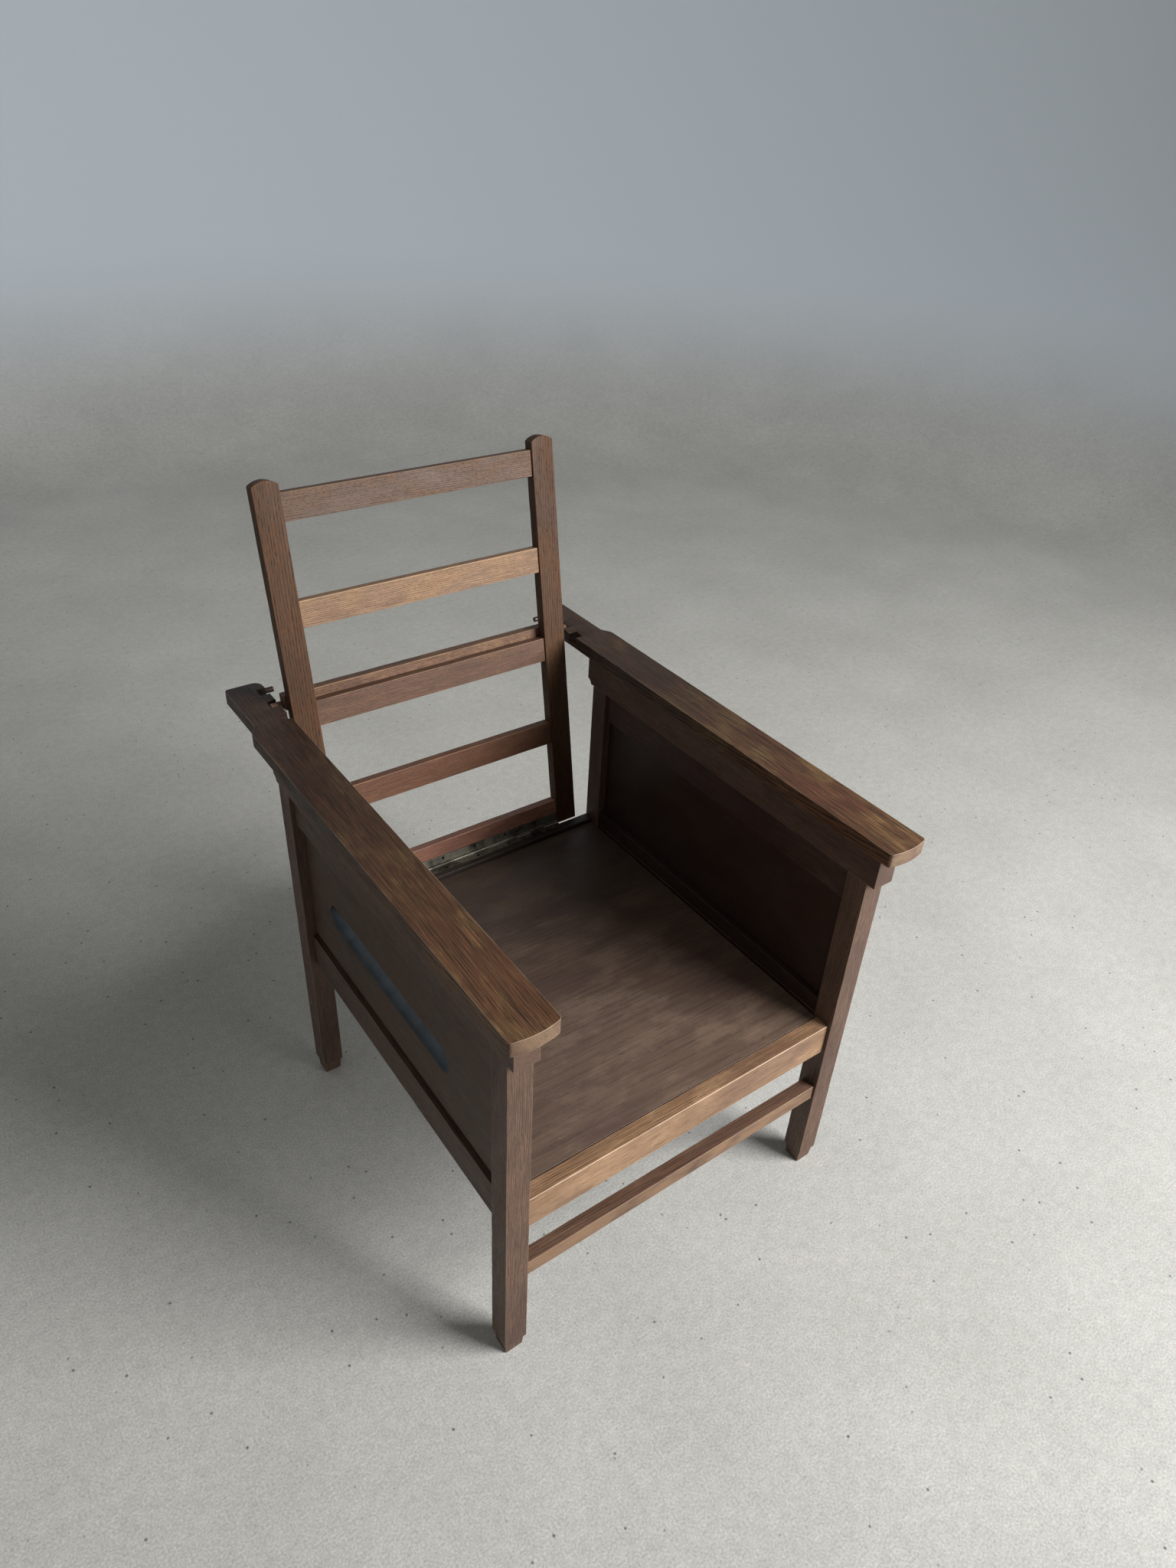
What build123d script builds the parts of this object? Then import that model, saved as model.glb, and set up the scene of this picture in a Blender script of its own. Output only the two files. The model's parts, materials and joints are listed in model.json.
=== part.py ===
from build123d import *
from math import asin, atan2, degrees, hypot, sqrt
import os

# Reclining armchair in oak: two panelled side frames joined by seat rails,
# a ladder back on a strip hinge, and a loose support bar behind the back
# whose round pins lie in notches of the arms. All lengths are millimetres.
# The origin is on the floor, in the middle of the chair. +Y runs from the
# front to the back, +Z is up, and left (-X) and right (+X) are as seen by
# someone who stands in front of the chair.

os.makedirs("parts", exist_ok=True)

# Legs
leg_side = 36.0
leg_height = 618.0
width_over_legs = 620.0
depth_over_legs = 648.0
foot_height = 24.0
foot_inset = 2.5
foot_taper = 1.5

# Arms, and the rails that carry them
under_rail_height = 58.0
under_rail_front_overhang = 13.0
under_rail_rear_overhang = 17.0
under_rail_cove = 9.0
arm_thickness = 22.0
arm_inner_overhang = 12.0
arm_outer_overhang = 20.0
arm_front_overhang = 39.0
arm_front_bow = 5.0
arm_rear_overhang = 171.0
arm_step_behind_leg = 25.0
arm_step_length = 24.0
arm_step_depth = 11.0
arm_front_corner_radius = 4.0
arm_inner_rear_radius = 14.0
arm_outer_rear_radius = 6.0
arm_edge_radius = 2.5

# Notches and stop pegs
notch_count = 3
notch_pitch = 43.0
last_notch_from_arm_end = 34.0
resting_notch = 1
notch_width = 19.0
notch_depth = 13.0
notch_reach = 15.0
peg_diameter = 9.0
peg_stand_out = 15.0
peg_seat = 28.0
peg_behind_last_notch = 16.0
peg_below_arm_top = 9.0

# Side frames between the legs
upper_rail_height = 55.0
side_rail_thickness = 22.0
lower_side_rail_height = 61.0
lower_side_rail_inner_set_back = 4.0
tenon_wall = 2.0
tenon_shoulder = 6.0
panel_thickness = 5.0
panel_edge_in_groove = 6.0
panel_slit = 12.0
bead_height = 29.0

# Slot and pocket in the left side
slot_behind_front_leg = 131.0
slot_before_rear_leg = 80.0
slot_height = 46.0
slot_middle_up_share = 0.45
pocket_wall = 1.2
pocket_flange = 6.0
pocket_inside_leg_face = 2.0
pocket_lip_set_back = 0.5

# Seat
seat_rail_top = 333.0
front_rail_height = 57.0
front_rail_thickness = 24.0
front_rail_set_back = 6.0
rear_rail_rise = 6.0
rear_rail_height = 57.0
rear_rail_thickness = 19.0
cross_tenon_length = 18.0
stretcher_thickness = 22.0
stretcher_height = 28.0
stretcher_top = 196.0
stretcher_set_back = 4.0
seat_board_thickness = 12.0
seat_board_below_rail = 2.0
seat_board_gap = 2.0
cleat_side = 20.0
cleat_end_gap = 4.0

# Strip hinge and its screws
hinge_behind_leg = 5.5
barrel_radius = 2.5
hinge_pin_radius = 1.0
hinge_pin_clearance = 0.05
screw_clearance = 0.05
leaf_thickness = 1.2
lower_leaf_width = 13.5
upper_leaf_width = 17.0
knuckle_count = 14
knuckle_gap = 0.3
hinge_end_gap = 1.5
hinge_screw_count = 6
hinge_screw_from_end = 48.0
upper_screw_height = 11.3
lower_screw_from_edge = 4.5
screw_head_radius = 3.2
screw_head_height = 1.2
screw_shank_radius = 1.5
screw_length = 12.0

# Back
back_side_gap = 9.5
stile_width = 41.0
stile_thickness = 20.0
stile_foot_below_hinge = 5.0
stile_shoulder_height = 693.8
stile_top_rise = 7.0
stile_edge_radius = 1.5
back_rail_count = 5
back_rail_height = 42.0
back_rail_thickness = 17.0
back_rail_set_back = 3.0
back_rail_above_hinge = 1.7
top_rail_below_shoulder = 12.9
back_tenon_length = 25.0
back_tenon_thickness = 9.0

# Support bar
bar_end_gap = 7.0
bar_depth = 20.0
bar_height = 24.0
bar_edge_radius = 1.0
bar_pin_radius = 6.5
bar_pin_length = 45.0
bar_pin_below_middle = 4.7
bar_pin_end_gap = 2.0

# Dowels and wood screws
leg_dowel_radius = 6.0
leg_dowel_length = 50.0
arm_dowel_radius = 5.0
arm_dowel_length = 32.0
arm_dowel_rows = 3
cleat_screw_radius = 2.0
cleat_screw_length = 32.0
cleat_screw_head_radius = 4.0
cleat_screw_head_height = 3.0

# Clearances
glue_gap = 0.1
rest_gap = 0.3
cut_overrun = 1.0

# Places worked out from the sizes
arm_length = arm_front_overhang + depth_over_legs + arm_rear_overhang
arm_front_y = -arm_length / 2
legs_front_y = arm_front_y + arm_front_overhang
legs_rear_y = legs_front_y + depth_over_legs
front_leg_rear_y = legs_front_y + leg_side
rear_leg_front_y = legs_rear_y - leg_side
leg_outer_x = width_over_legs / 2
leg_inner_x = leg_outer_x - leg_side
side_middle_x = (leg_outer_x + leg_inner_x) / 2
arm_inner_x = leg_inner_x - arm_inner_overhang
arm_outer_x = leg_outer_x + arm_outer_overhang
arm_bottom_z = leg_height + under_rail_height
arm_top_z = arm_bottom_z + arm_thickness

upper_rail_outer_x = side_middle_x + side_rail_thickness / 2
upper_rail_inner_x = side_middle_x - side_rail_thickness / 2
upper_rail_bottom_z = leg_height - upper_rail_height
lower_rail_inner_x = leg_inner_x + lower_side_rail_inner_set_back
lower_rail_outer_x = lower_rail_inner_x + side_rail_thickness
panel_outer_x = side_middle_x + panel_thickness / 2
panel_inner_x = side_middle_x - panel_thickness / 2
panel_bottom_z = seat_rail_top + panel_slit
panel_top_z = upper_rail_bottom_z + panel_edge_in_groove
panel_front_y = front_leg_rear_y - panel_edge_in_groove
panel_rear_y = rear_leg_front_y + panel_edge_in_groove
groove_width = panel_thickness + 2 * glue_gap
groove_depth = panel_edge_in_groove + rest_gap

front_rail_front_y = legs_front_y + front_rail_set_back
front_rail_rear_y = front_rail_front_y + front_rail_thickness
side_tenon_length = front_leg_rear_y - front_rail_rear_y + tenon_shoulder - tenon_wall
rear_rail_front_y = legs_rear_y - rear_rail_thickness
rear_rail_top = seat_rail_top + rear_rail_rise
seat_top_z = seat_rail_top - seat_board_below_rail
seat_bottom_z = seat_top_z - seat_board_thickness
cleat_bottom_z = seat_bottom_z - cleat_side

hinge_y = legs_rear_y + hinge_behind_leg
hinge_z = rear_rail_top + barrel_radius
stile_outer_x = arm_inner_x - back_side_gap
stile_inner_x = stile_outer_x - stile_width
hinge_length = 2 * (stile_inner_x - hinge_end_gap)
hinge_screw_pitch = (hinge_length - 2 * hinge_screw_from_end) / (hinge_screw_count - 1)

# The back while it stands upright on its hinge: "out" is the distance behind
# the hinge axis. Its rails stand just behind the hinge's barrel.
rail_front_out = barrel_radius
stile_front_out = rail_front_out - back_rail_set_back
stile_rear_out = stile_front_out + stile_thickness
bar_front_out = stile_rear_out + rest_gap
bar_middle_out = bar_front_out + bar_depth / 2

# The support bar's pin lies in the resting notch, and the back leans on the
# bar, so the slope of the back follows from where the notch is.
notch_radius = notch_width / 2
notch_floor_z = arm_top_z - notch_depth
arm_rear_y = legs_rear_y + arm_rear_overhang
last_notch_y = arm_rear_y - last_notch_from_arm_end
notch_places = [last_notch_y - (notch_count - 1 - i) * notch_pitch for i in range(notch_count)]
pin_y = notch_places[resting_notch]
pin_z = notch_floor_z + bar_pin_radius + rest_gap
pin_distance = hypot(pin_y - hinge_y, pin_z - hinge_z)
slope = degrees(atan2(pin_y - hinge_y, pin_z - hinge_z)
                - asin(bar_middle_out / pin_distance))
pin_up = sqrt(pin_distance**2 - bar_middle_out**2)
bar_middle_up = pin_up + bar_pin_below_middle
peg_y = last_notch_y + peg_behind_last_notch
hinge_axis = Axis((0, hinge_y, hinge_z), (1, 0, 0))
peg_z = arm_top_z - peg_below_arm_top

print(f"the back leans {slope:.2f} degrees, its bar is {pin_up:.1f} mm up the slope")


def save(piece, name):
    """Label a finished piece and write it to its own file."""
    piece.part.label = name
    export_step(piece.part, f"parts/{name}.step")


def save_pair(right, name):
    """Write the piece of the right side, and its mirror image for the left."""
    save(right, f"{name}_right")
    with BuildPart() as left:
        mirror(right.part, about=Plane.YZ)
    save(left, f"{name}_left")


def lean(upright):
    """A piece of the back, turned from upright to the slope that it rests at."""
    with BuildPart() as leaning:
        add(upright.part.rotate(hinge_axis, -slope, transform=True))
    return leaning


def block(low, high, mode=Mode.ADD):
    """Add a box to the piece being made, or cut it out, corner to corner."""
    middle = tuple((a + b) / 2 for a, b in zip(low, high))
    with Locations(middle):
        Box(*(b - a for a, b in zip(low, high)), mode=mode)


def rod(start, length, radius, rotation, mode=Mode.ADD):
    """Add or cut a round rod that begins at start and runs along its axis."""
    with Locations(Location(start, rotation)):
        Cylinder(radius, length, align=(Align.CENTER, Align.CENTER, Align.MIN), mode=mode)


ALONG_X = (0, 90, 0)
ALONG_MINUS_X = (0, -90, 0)
ALONG_Y = (-90, 0, 0)
ALONG_MINUS_Y = (90, 0, 0)
UP = (0, 0, 0)
DOWN = (180, 0, 0)


# Cross rails between the side frames: body, and the tenons in the legs.
# Each entry holds front y, rear y, bottom z and top z.
cross_rails = {
    "front_seat_rail": (front_rail_front_y, front_rail_rear_y,
                        seat_rail_top - front_rail_height, seat_rail_top),
    "rear_seat_rail": (rear_rail_front_y, legs_rear_y,
                       rear_rail_top - rear_rail_height, rear_rail_top),
    "front_stretcher": (legs_front_y + stretcher_set_back,
                        legs_front_y + stretcher_set_back + stretcher_thickness,
                        stretcher_top - stretcher_height, stretcher_top),
}

# Side rails between front and rear leg: inner x, outer x, bottom z, top z.
side_rails = {
    "upper_side_rail": (upper_rail_inner_x, upper_rail_outer_x,
                        upper_rail_bottom_z, leg_height),
    "lower_side_rail": (lower_rail_inner_x, lower_rail_outer_x,
                        seat_rail_top - lower_side_rail_height, seat_rail_top),
}


def cross_tenon(rail, spare):
    """The right tenon of a cross rail, or with spare the mortise for it."""
    front, rear, bottom, top = rail
    block((leg_inner_x - spare, front + tenon_shoulder - spare, bottom + tenon_shoulder - spare),
          (leg_inner_x + cross_tenon_length + spare,
           rear - tenon_shoulder + spare, top - tenon_shoulder + spare),
          mode=Mode.SUBTRACT if spare else Mode.ADD)


def side_tenon(rail, leg_face_y, inward, spare):
    """A side rail's tenon in the leg whose face is at leg_face_y."""
    inner, outer, bottom, top = rail
    ends = sorted((leg_face_y - inward * spare, leg_face_y + inward * (side_tenon_length + spare)))
    block((inner + tenon_shoulder - spare, ends[0], bottom + 2 * tenon_shoulder - spare),
          (outer - tenon_shoulder + spare, ends[1], top - tenon_shoulder + spare),
          mode=Mode.SUBTRACT if spare else Mode.ADD)


# Places of the seat cleats and of the wood screws that hold them
side_cleat_front_y = front_rail_rear_y + cleat_side + cleat_end_gap
side_cleat_rear_y = rear_rail_front_y - cleat_side - cleat_end_gap
cleat_screw_z = cleat_bottom_z + cleat_side / 2
side_screw_share = (0.1, 0.5, 0.9)
side_screw_places = [side_cleat_front_y + share * (side_cleat_rear_y - side_cleat_front_y)
                     for share in side_screw_share]
end_screw_share = (-0.7, 0.0, 0.7)
end_screw_places = [share * lower_rail_inner_x for share in end_screw_share]
end_cleats = {
    "front_seat_rail": ("seat_cleat_front", front_rail_rear_y, front_rail_rear_y + cleat_side),
    "rear_seat_rail": ("seat_cleat_rear", rear_rail_front_y - cleat_side, rear_rail_front_y),
}


def wood_screw(head_at, rotation, sizes, spare, mode):
    """One countersunk screw from the face of its head, or the hole for it."""
    shank_radius, length, head_radius, head_height = sizes
    with Locations(Location(head_at, rotation)):
        Cylinder(shank_radius + spare, length + spare,
                 align=(Align.CENTER, Align.CENTER, Align.MIN), mode=mode)
        Cone(head_radius + spare, shank_radius + spare, head_height,
             align=(Align.CENTER, Align.CENTER, Align.MIN), mode=mode)


cleat_screw_sizes = (cleat_screw_radius, cleat_screw_length,
                     cleat_screw_head_radius, cleat_screw_head_height)
hinge_screw_sizes = (screw_shank_radius, screw_length, screw_head_radius, screw_head_height)


def side_cleat_screws(spare, mode):
    """Screws through the right side cleat into the lower side rail."""
    for y in side_screw_places:
        wood_screw((lower_rail_inner_x - cleat_side, y, cleat_screw_z), ALONG_X,
                   cleat_screw_sizes, spare, mode)


def end_cleat_screws(rail, spare, mode):
    """Screws through the front or rear cleat into its seat rail."""
    front, rear = end_cleats[rail][1:]
    for x in end_screw_places:
        if rail == "front_seat_rail":
            wood_screw((x, rear, cleat_screw_z), ALONG_MINUS_Y, cleat_screw_sizes, spare, mode)
        else:
            wood_screw((x, front, cleat_screw_z), ALONG_Y, cleat_screw_sizes, spare, mode)


def hinge_screws(middle, rotation, spare=0, mode=Mode.ADD):
    """The row of hinge screws, with the middle of the row given."""
    for i in range(hinge_screw_count):
        x = (i - (hinge_screw_count - 1) / 2) * hinge_screw_pitch
        wood_screw(Vector(middle) + Vector(x, 0, 0), rotation, hinge_screw_sizes, spare, mode)


# Legs, with mortises, panel groove, dowel hole and the cut-in foot
def make_leg(front_y, inner_face_y, inward, rails):
    """One right leg. inner_face_y is its face towards the other leg."""
    middle_y = front_y + leg_side / 2
    foot_top_side = leg_side - 2 * foot_inset
    foot_bottom_side = foot_top_side - 2 * foot_taper
    with BuildPart() as leg:
        block((leg_inner_x, front_y, foot_height), (leg_outer_x, front_y + leg_side, leg_height))
        with BuildSketch(Plane.XY.offset(foot_height)):
            with Locations((side_middle_x, middle_y)):
                Rectangle(foot_top_side, foot_top_side)
        with BuildSketch(Plane.XY):
            with Locations((side_middle_x, middle_y)):
                Rectangle(foot_bottom_side, foot_bottom_side)
        loft()
        for rail in rails:
            cross_tenon(cross_rails[rail], glue_gap)
        for rail in side_rails.values():
            side_tenon(rail, inner_face_y, inward, glue_gap)
        groove_ends = sorted((inner_face_y - inward * cut_overrun,
                              inner_face_y + inward * groove_depth))
        block((side_middle_x - groove_width / 2, groove_ends[0], panel_bottom_z - rest_gap),
              (side_middle_x + groove_width / 2, groove_ends[1], panel_top_z + rest_gap),
              mode=Mode.SUBTRACT)
        rod((side_middle_x, middle_y, leg_height - leg_dowel_length / 2 - glue_gap),
            leg_dowel_length, leg_dowel_radius + glue_gap, UP, mode=Mode.SUBTRACT)
    return leg


save_pair(make_leg(legs_front_y, front_leg_rear_y, -1, ("front_seat_rail", "front_stretcher")),
          "leg_front")
save_pair(make_leg(rear_leg_front_y, rear_leg_front_y, 1, ("rear_seat_rail",)), "leg_rear")

# Front seat rail, rear seat rail and front stretcher, tenoned into the legs
lower_leaf_front_y = hinge_y - lower_leaf_width
lower_screw_y = lower_leaf_front_y + lower_screw_from_edge
for name, rail in cross_rails.items():
    front, rear, bottom, top = rail
    with BuildPart() as cross_rail:
        block((-leg_inner_x, front, bottom), (leg_inner_x, rear, top))
        cross_tenon(rail, 0)
        mirror(about=Plane.YZ)
        if name == "rear_seat_rail":
            hinge_screws((0, lower_screw_y, top + leaf_thickness), DOWN, screw_clearance,
                         Mode.SUBTRACT)
        if name in end_cleats:
            end_cleat_screws(name, glue_gap, Mode.SUBTRACT)
    save(cross_rail, name)

# Upper and lower side rails; the upper one is grooved for the panel
for name, rail in side_rails.items():
    inner, outer, bottom, top = rail
    with BuildPart() as side_rail:
        block((inner, front_leg_rear_y, bottom), (outer, rear_leg_front_y, top))
        side_tenon(rail, front_leg_rear_y, -1, 0)
        side_tenon(rail, rear_leg_front_y, 1, 0)
        if name == "upper_side_rail":
            block((side_middle_x - groove_width / 2, front_leg_rear_y, bottom - cut_overrun),
                  (side_middle_x + groove_width / 2, rear_leg_front_y, bottom + groove_depth),
                  mode=Mode.SUBTRACT)
        if name == "lower_side_rail":
            side_cleat_screws(glue_gap, Mode.SUBTRACT)
    save_pair(side_rail, name)

# Thin side panels: in grooves on three edges, open along the bottom edge.
# The left one has the long round-ended slot.
slot_front_y = front_leg_rear_y + slot_behind_front_leg
slot_rear_y = rear_leg_front_y - slot_before_rear_leg
slot_length = slot_rear_y - slot_front_y
slot_middle_y = (slot_front_y + slot_rear_y) / 2
slot_middle_z = panel_bottom_z + slot_middle_up_share * (upper_rail_bottom_z - panel_bottom_z)


def panel_blank():
    """The plain right panel."""
    block((panel_inner_x, panel_front_y, panel_bottom_z), (panel_outer_x, panel_rear_y, panel_top_z))


with BuildPart() as side_panel_right:
    panel_blank()
save(side_panel_right, "side_panel_right")

with BuildPart() as side_panel_left:
    mirror(side_panel_right.part, about=Plane.YZ)
    with BuildSketch(Plane.YZ.offset(-panel_outer_x - cut_overrun)):
        with Locations((slot_middle_y, slot_middle_z)):
            SlotOverall(slot_length, slot_height)
    extrude(amount=panel_thickness + 2 * cut_overrun, mode=Mode.SUBTRACT)
save(side_panel_left, "side_panel_left")

# Sheet-metal pocket behind the slot: its walls line the slot, its flange
# lies on the panel's inner face, and it is closed towards the seat
pocket_mouth_x = -panel_outer_x + pocket_lip_set_back
pocket_depth = -leg_inner_x - pocket_inside_leg_face - pocket_mouth_x
pocket_length = slot_length - 2 * glue_gap
pocket_height = slot_height - 2 * glue_gap
with BuildPart() as side_pocket:
    with BuildSketch(Plane.YZ.offset(pocket_mouth_x)):
        with Locations((slot_middle_y, slot_middle_z)):
            SlotOverall(pocket_length, pocket_height)
    extrude(amount=pocket_depth)
    with BuildSketch(Plane.YZ.offset(-panel_inner_x)):
        with Locations((slot_middle_y, slot_middle_z)):
            SlotOverall(pocket_length + 2 * pocket_flange, pocket_height + 2 * pocket_flange)
    extrude(amount=pocket_wall)
    with BuildSketch(Plane.YZ.offset(pocket_mouth_x - cut_overrun)):
        with Locations((slot_middle_y, slot_middle_z)):
            SlotOverall(pocket_length - 2 * pocket_wall, pocket_height - 2 * pocket_wall)
    extrude(amount=pocket_depth - pocket_wall + cut_overrun, mode=Mode.SUBTRACT)
save(side_pocket, "side_pocket")

# Bead on the lower side rail that the panel's bottom edge is nailed to
with BuildPart() as panel_bead:
    block((lower_rail_inner_x, front_leg_rear_y, seat_rail_top),
          (panel_inner_x, rear_leg_front_y, seat_rail_top + bead_height))
save_pair(panel_bead, "panel_bead")

# Rails under the arms, as wide as the legs, with a cove at the rear end
under_rail_front_y = legs_front_y - under_rail_front_overhang
under_rail_rear_y = legs_rear_y + under_rail_rear_overhang
leg_middles = (legs_front_y + leg_side / 2, legs_rear_y - leg_side / 2)
arm_dowel_step = (leg_middles[1] - leg_middles[0]) / (arm_dowel_rows + 1)
arm_dowel_places = [leg_middles[0] + (i + 1) * arm_dowel_step for i in range(arm_dowel_rows)]
arm_dowel_bottom_z = arm_bottom_z - arm_dowel_length / 2
with BuildPart() as under_arm_rail:
    block((leg_inner_x, under_rail_front_y, leg_height), (leg_outer_x, under_rail_rear_y, arm_bottom_z))
    rod((leg_inner_x - cut_overrun, under_rail_rear_y, leg_height),
        leg_side + 2 * cut_overrun, under_rail_cove, ALONG_X, mode=Mode.SUBTRACT)
    for y in leg_middles:
        rod((side_middle_x, y, leg_height), leg_dowel_length / 2 + glue_gap,
            leg_dowel_radius + glue_gap, UP, mode=Mode.SUBTRACT)
    for y in arm_dowel_places:
        rod((side_middle_x, y, arm_dowel_bottom_z - glue_gap), arm_dowel_length,
            arm_dowel_radius + glue_gap, UP, mode=Mode.SUBTRACT)
save_pair(under_arm_rail, "under_arm_rail")

# Arms: bowed front end, stepped-in rear end, notches and a hole for the peg
step_start_y = legs_rear_y + arm_step_behind_leg
step_end_y = step_start_y + arm_step_length
arm_narrow_x = arm_outer_x - arm_step_depth
corner_y = arm_front_y + arm_front_bow
step_middle = ((arm_outer_x + arm_narrow_x) / 2, (step_start_y + step_end_y) / 2)
with BuildPart() as arm:
    with BuildSketch(Plane.XY.offset(arm_bottom_z)) as arm_outline:
        with BuildLine():
            ThreePointArc((arm_inner_x, corner_y),
                          ((arm_inner_x + arm_outer_x) / 2, arm_front_y),
                          (arm_outer_x, corner_y))
            Line((arm_outer_x, corner_y), (arm_outer_x, step_start_y))
            TangentArc((arm_outer_x, step_start_y), step_middle, tangent=(0, 1))
            TangentArc((arm_narrow_x, step_end_y), step_middle, tangent=(0, -1))
            Polyline((arm_narrow_x, step_end_y), (arm_narrow_x, arm_rear_y),
                     (arm_inner_x, arm_rear_y), (arm_inner_x, corner_y))
        make_face()
        rear_corners = arm_outline.vertices().group_by(Axis.Y)[-1].sort_by(Axis.X)
        fillet(rear_corners[0], radius=arm_inner_rear_radius)
        outer_rear_corner = arm_outline.vertices().group_by(Axis.Y)[-1].sort_by(Axis.X)[-1]
        fillet(outer_rear_corner, radius=arm_outer_rear_radius)
        fillet(arm_outline.vertices().filter_by_position(Axis.Y, corner_y - glue_gap,
                                                         corner_y + glue_gap),
               radius=arm_front_corner_radius)
    extrude(amount=arm_thickness)
    fillet(arm.faces().filter_by(Axis.Z).edges(), radius=arm_edge_radius)
    for y in notch_places:
        block((arm_inner_x - cut_overrun, y - notch_radius, notch_floor_z + notch_radius),
              (arm_inner_x + notch_reach, y + notch_radius, arm_top_z + cut_overrun),
              mode=Mode.SUBTRACT)
        rod((arm_inner_x - cut_overrun, y, notch_floor_z + notch_radius),
            notch_reach + cut_overrun, notch_radius, ALONG_X, mode=Mode.SUBTRACT)
    rod((arm_inner_x - cut_overrun, peg_y, peg_z), peg_seat + cut_overrun + glue_gap,
        peg_diameter / 2 + glue_gap, ALONG_X, mode=Mode.SUBTRACT)
    for y in arm_dowel_places:
        rod((side_middle_x, y, arm_bottom_z - cut_overrun),
            arm_dowel_length / 2 + cut_overrun + glue_gap, arm_dowel_radius + glue_gap, UP,
            mode=Mode.SUBTRACT)
save_pair(arm, "arm")

# Stop pegs behind the last notch
with BuildPart() as stop_peg:
    rod((arm_inner_x - peg_stand_out, peg_y, peg_z), peg_stand_out + peg_seat,
        peg_diameter / 2, ALONG_X)
save_pair(stop_peg, "stop_peg")

# Hidden dowels: leg to under-arm rail, and under-arm rail to arm
with BuildPart() as leg_dowels:
    for y in leg_middles:
        rod((side_middle_x, y, leg_height - leg_dowel_length / 2), leg_dowel_length,
            leg_dowel_radius, UP)
    mirror(about=Plane.YZ)
save(leg_dowels, "leg_dowels")

with BuildPart() as arm_dowels:
    for y in arm_dowel_places:
        rod((side_middle_x, y, arm_dowel_bottom_z), arm_dowel_length, arm_dowel_radius, UP)
    mirror(about=Plane.YZ)
save(arm_dowels, "arm_dowels")

# Seat board on four cleats
seat_board_half = leg_inner_x - rest_gap
seat_front_y = front_rail_rear_y + seat_board_gap
with BuildPart() as seat_board:
    block((-seat_board_half, seat_front_y, seat_bottom_z),
          (seat_board_half, rear_rail_front_y - rest_gap, seat_top_z))
save(seat_board, "seat_board")

with BuildPart() as side_cleat:
    block((lower_rail_inner_x - cleat_side, side_cleat_front_y, cleat_bottom_z),
          (lower_rail_inner_x, side_cleat_rear_y, seat_bottom_z))
    side_cleat_screws(glue_gap, Mode.SUBTRACT)
save_pair(side_cleat, "seat_cleat")

for rail, (name, front, rear) in end_cleats.items():
    with BuildPart() as end_cleat:
        block((-seat_board_half, front, cleat_bottom_z), (seat_board_half, rear, seat_bottom_z))
        end_cleat_screws(rail, glue_gap, Mode.SUBTRACT)
    save(end_cleat, name)

with BuildPart() as cleat_screws:
    side_cleat_screws(0, Mode.ADD)
    mirror(about=Plane.YZ)
    for rail in end_cleats:
        end_cleat_screws(rail, 0, Mode.ADD)
save(cleat_screws, "cleat_screws")

# Lower leaf of the strip hinge, on top of the rear seat rail, with every
# second knuckle of the barrel
knuckle_pitch = hinge_length / knuckle_count


def knuckles(first):
    """Rings of the hinge barrel about the hinge axis, one in two."""
    for i in range(first, knuckle_count, 2):
        rod((-hinge_length / 2 + i * knuckle_pitch + knuckle_gap / 2, hinge_y, hinge_z),
            knuckle_pitch - knuckle_gap, barrel_radius, ALONG_X)


def clear_for_knuckles(first):
    """Room round the other leaf's knuckles, and the bore for the pin."""
    for i in range(first, knuckle_count, 2):
        rod((-hinge_length / 2 + i * knuckle_pitch - knuckle_gap / 2, hinge_y, hinge_z),
            knuckle_pitch + knuckle_gap, barrel_radius + rest_gap, ALONG_X, mode=Mode.SUBTRACT)
    rod((-hinge_length / 2 - cut_overrun, hinge_y, hinge_z), hinge_length + 2 * cut_overrun,
        hinge_pin_radius + hinge_pin_clearance, ALONG_X, mode=Mode.SUBTRACT)


with BuildPart() as hinge_lower_leaf:
    block((-hinge_length / 2, lower_leaf_front_y, rear_rail_top),
          (hinge_length / 2, hinge_y, rear_rail_top + leaf_thickness))
    knuckles(0)
    clear_for_knuckles(1)
    hinge_screws((0, lower_screw_y, rear_rail_top + leaf_thickness), DOWN, screw_clearance,
                 Mode.SUBTRACT)
save(hinge_lower_leaf, "hinge_lower_leaf")

with BuildPart() as hinge_pin:
    rod((-hinge_length / 2, hinge_y, hinge_z), hinge_length, hinge_pin_radius, ALONG_X)
save(hinge_pin, "hinge_pin")

with BuildPart() as hinge_screws_lower:
    hinge_screws((0, lower_screw_y, rear_rail_top + leaf_thickness), DOWN)
save(hinge_screws_lower, "hinge_screws_lower")

# The back, its half of the hinge and the support bar are made upright, over
# the hinge axis, and lean() then turns each finished piece to the slope.
leaf_front_out = rail_front_out - leaf_thickness
upper_screw_middle = (0, hinge_y + leaf_front_out, hinge_z + upper_screw_height)


def board(front_out, half_width, up_low, up_high, thickness, mode=Mode.ADD):
    """Add or cut a board across the upright back, front_out behind the axis."""
    block((-half_width, hinge_y + front_out, hinge_z + up_low),
          (half_width, hinge_y + front_out + thickness, hinge_z + up_high), mode=mode)


# Upper leaf, flat on the front of the back's lowest rail
with BuildPart() as hinge_upper_leaf:
    board(leaf_front_out, hinge_length / 2, 0, upper_leaf_width, leaf_thickness)
    knuckles(1)
    clear_for_knuckles(0)
    hinge_screws(upper_screw_middle, ALONG_Y, screw_clearance, Mode.SUBTRACT)
save(lean(hinge_upper_leaf), "hinge_upper_leaf")

with BuildPart() as hinge_screws_upper:
    hinge_screws(upper_screw_middle, ALONG_Y)
save(lean(hinge_screws_upper), "hinge_screws_upper")

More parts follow.
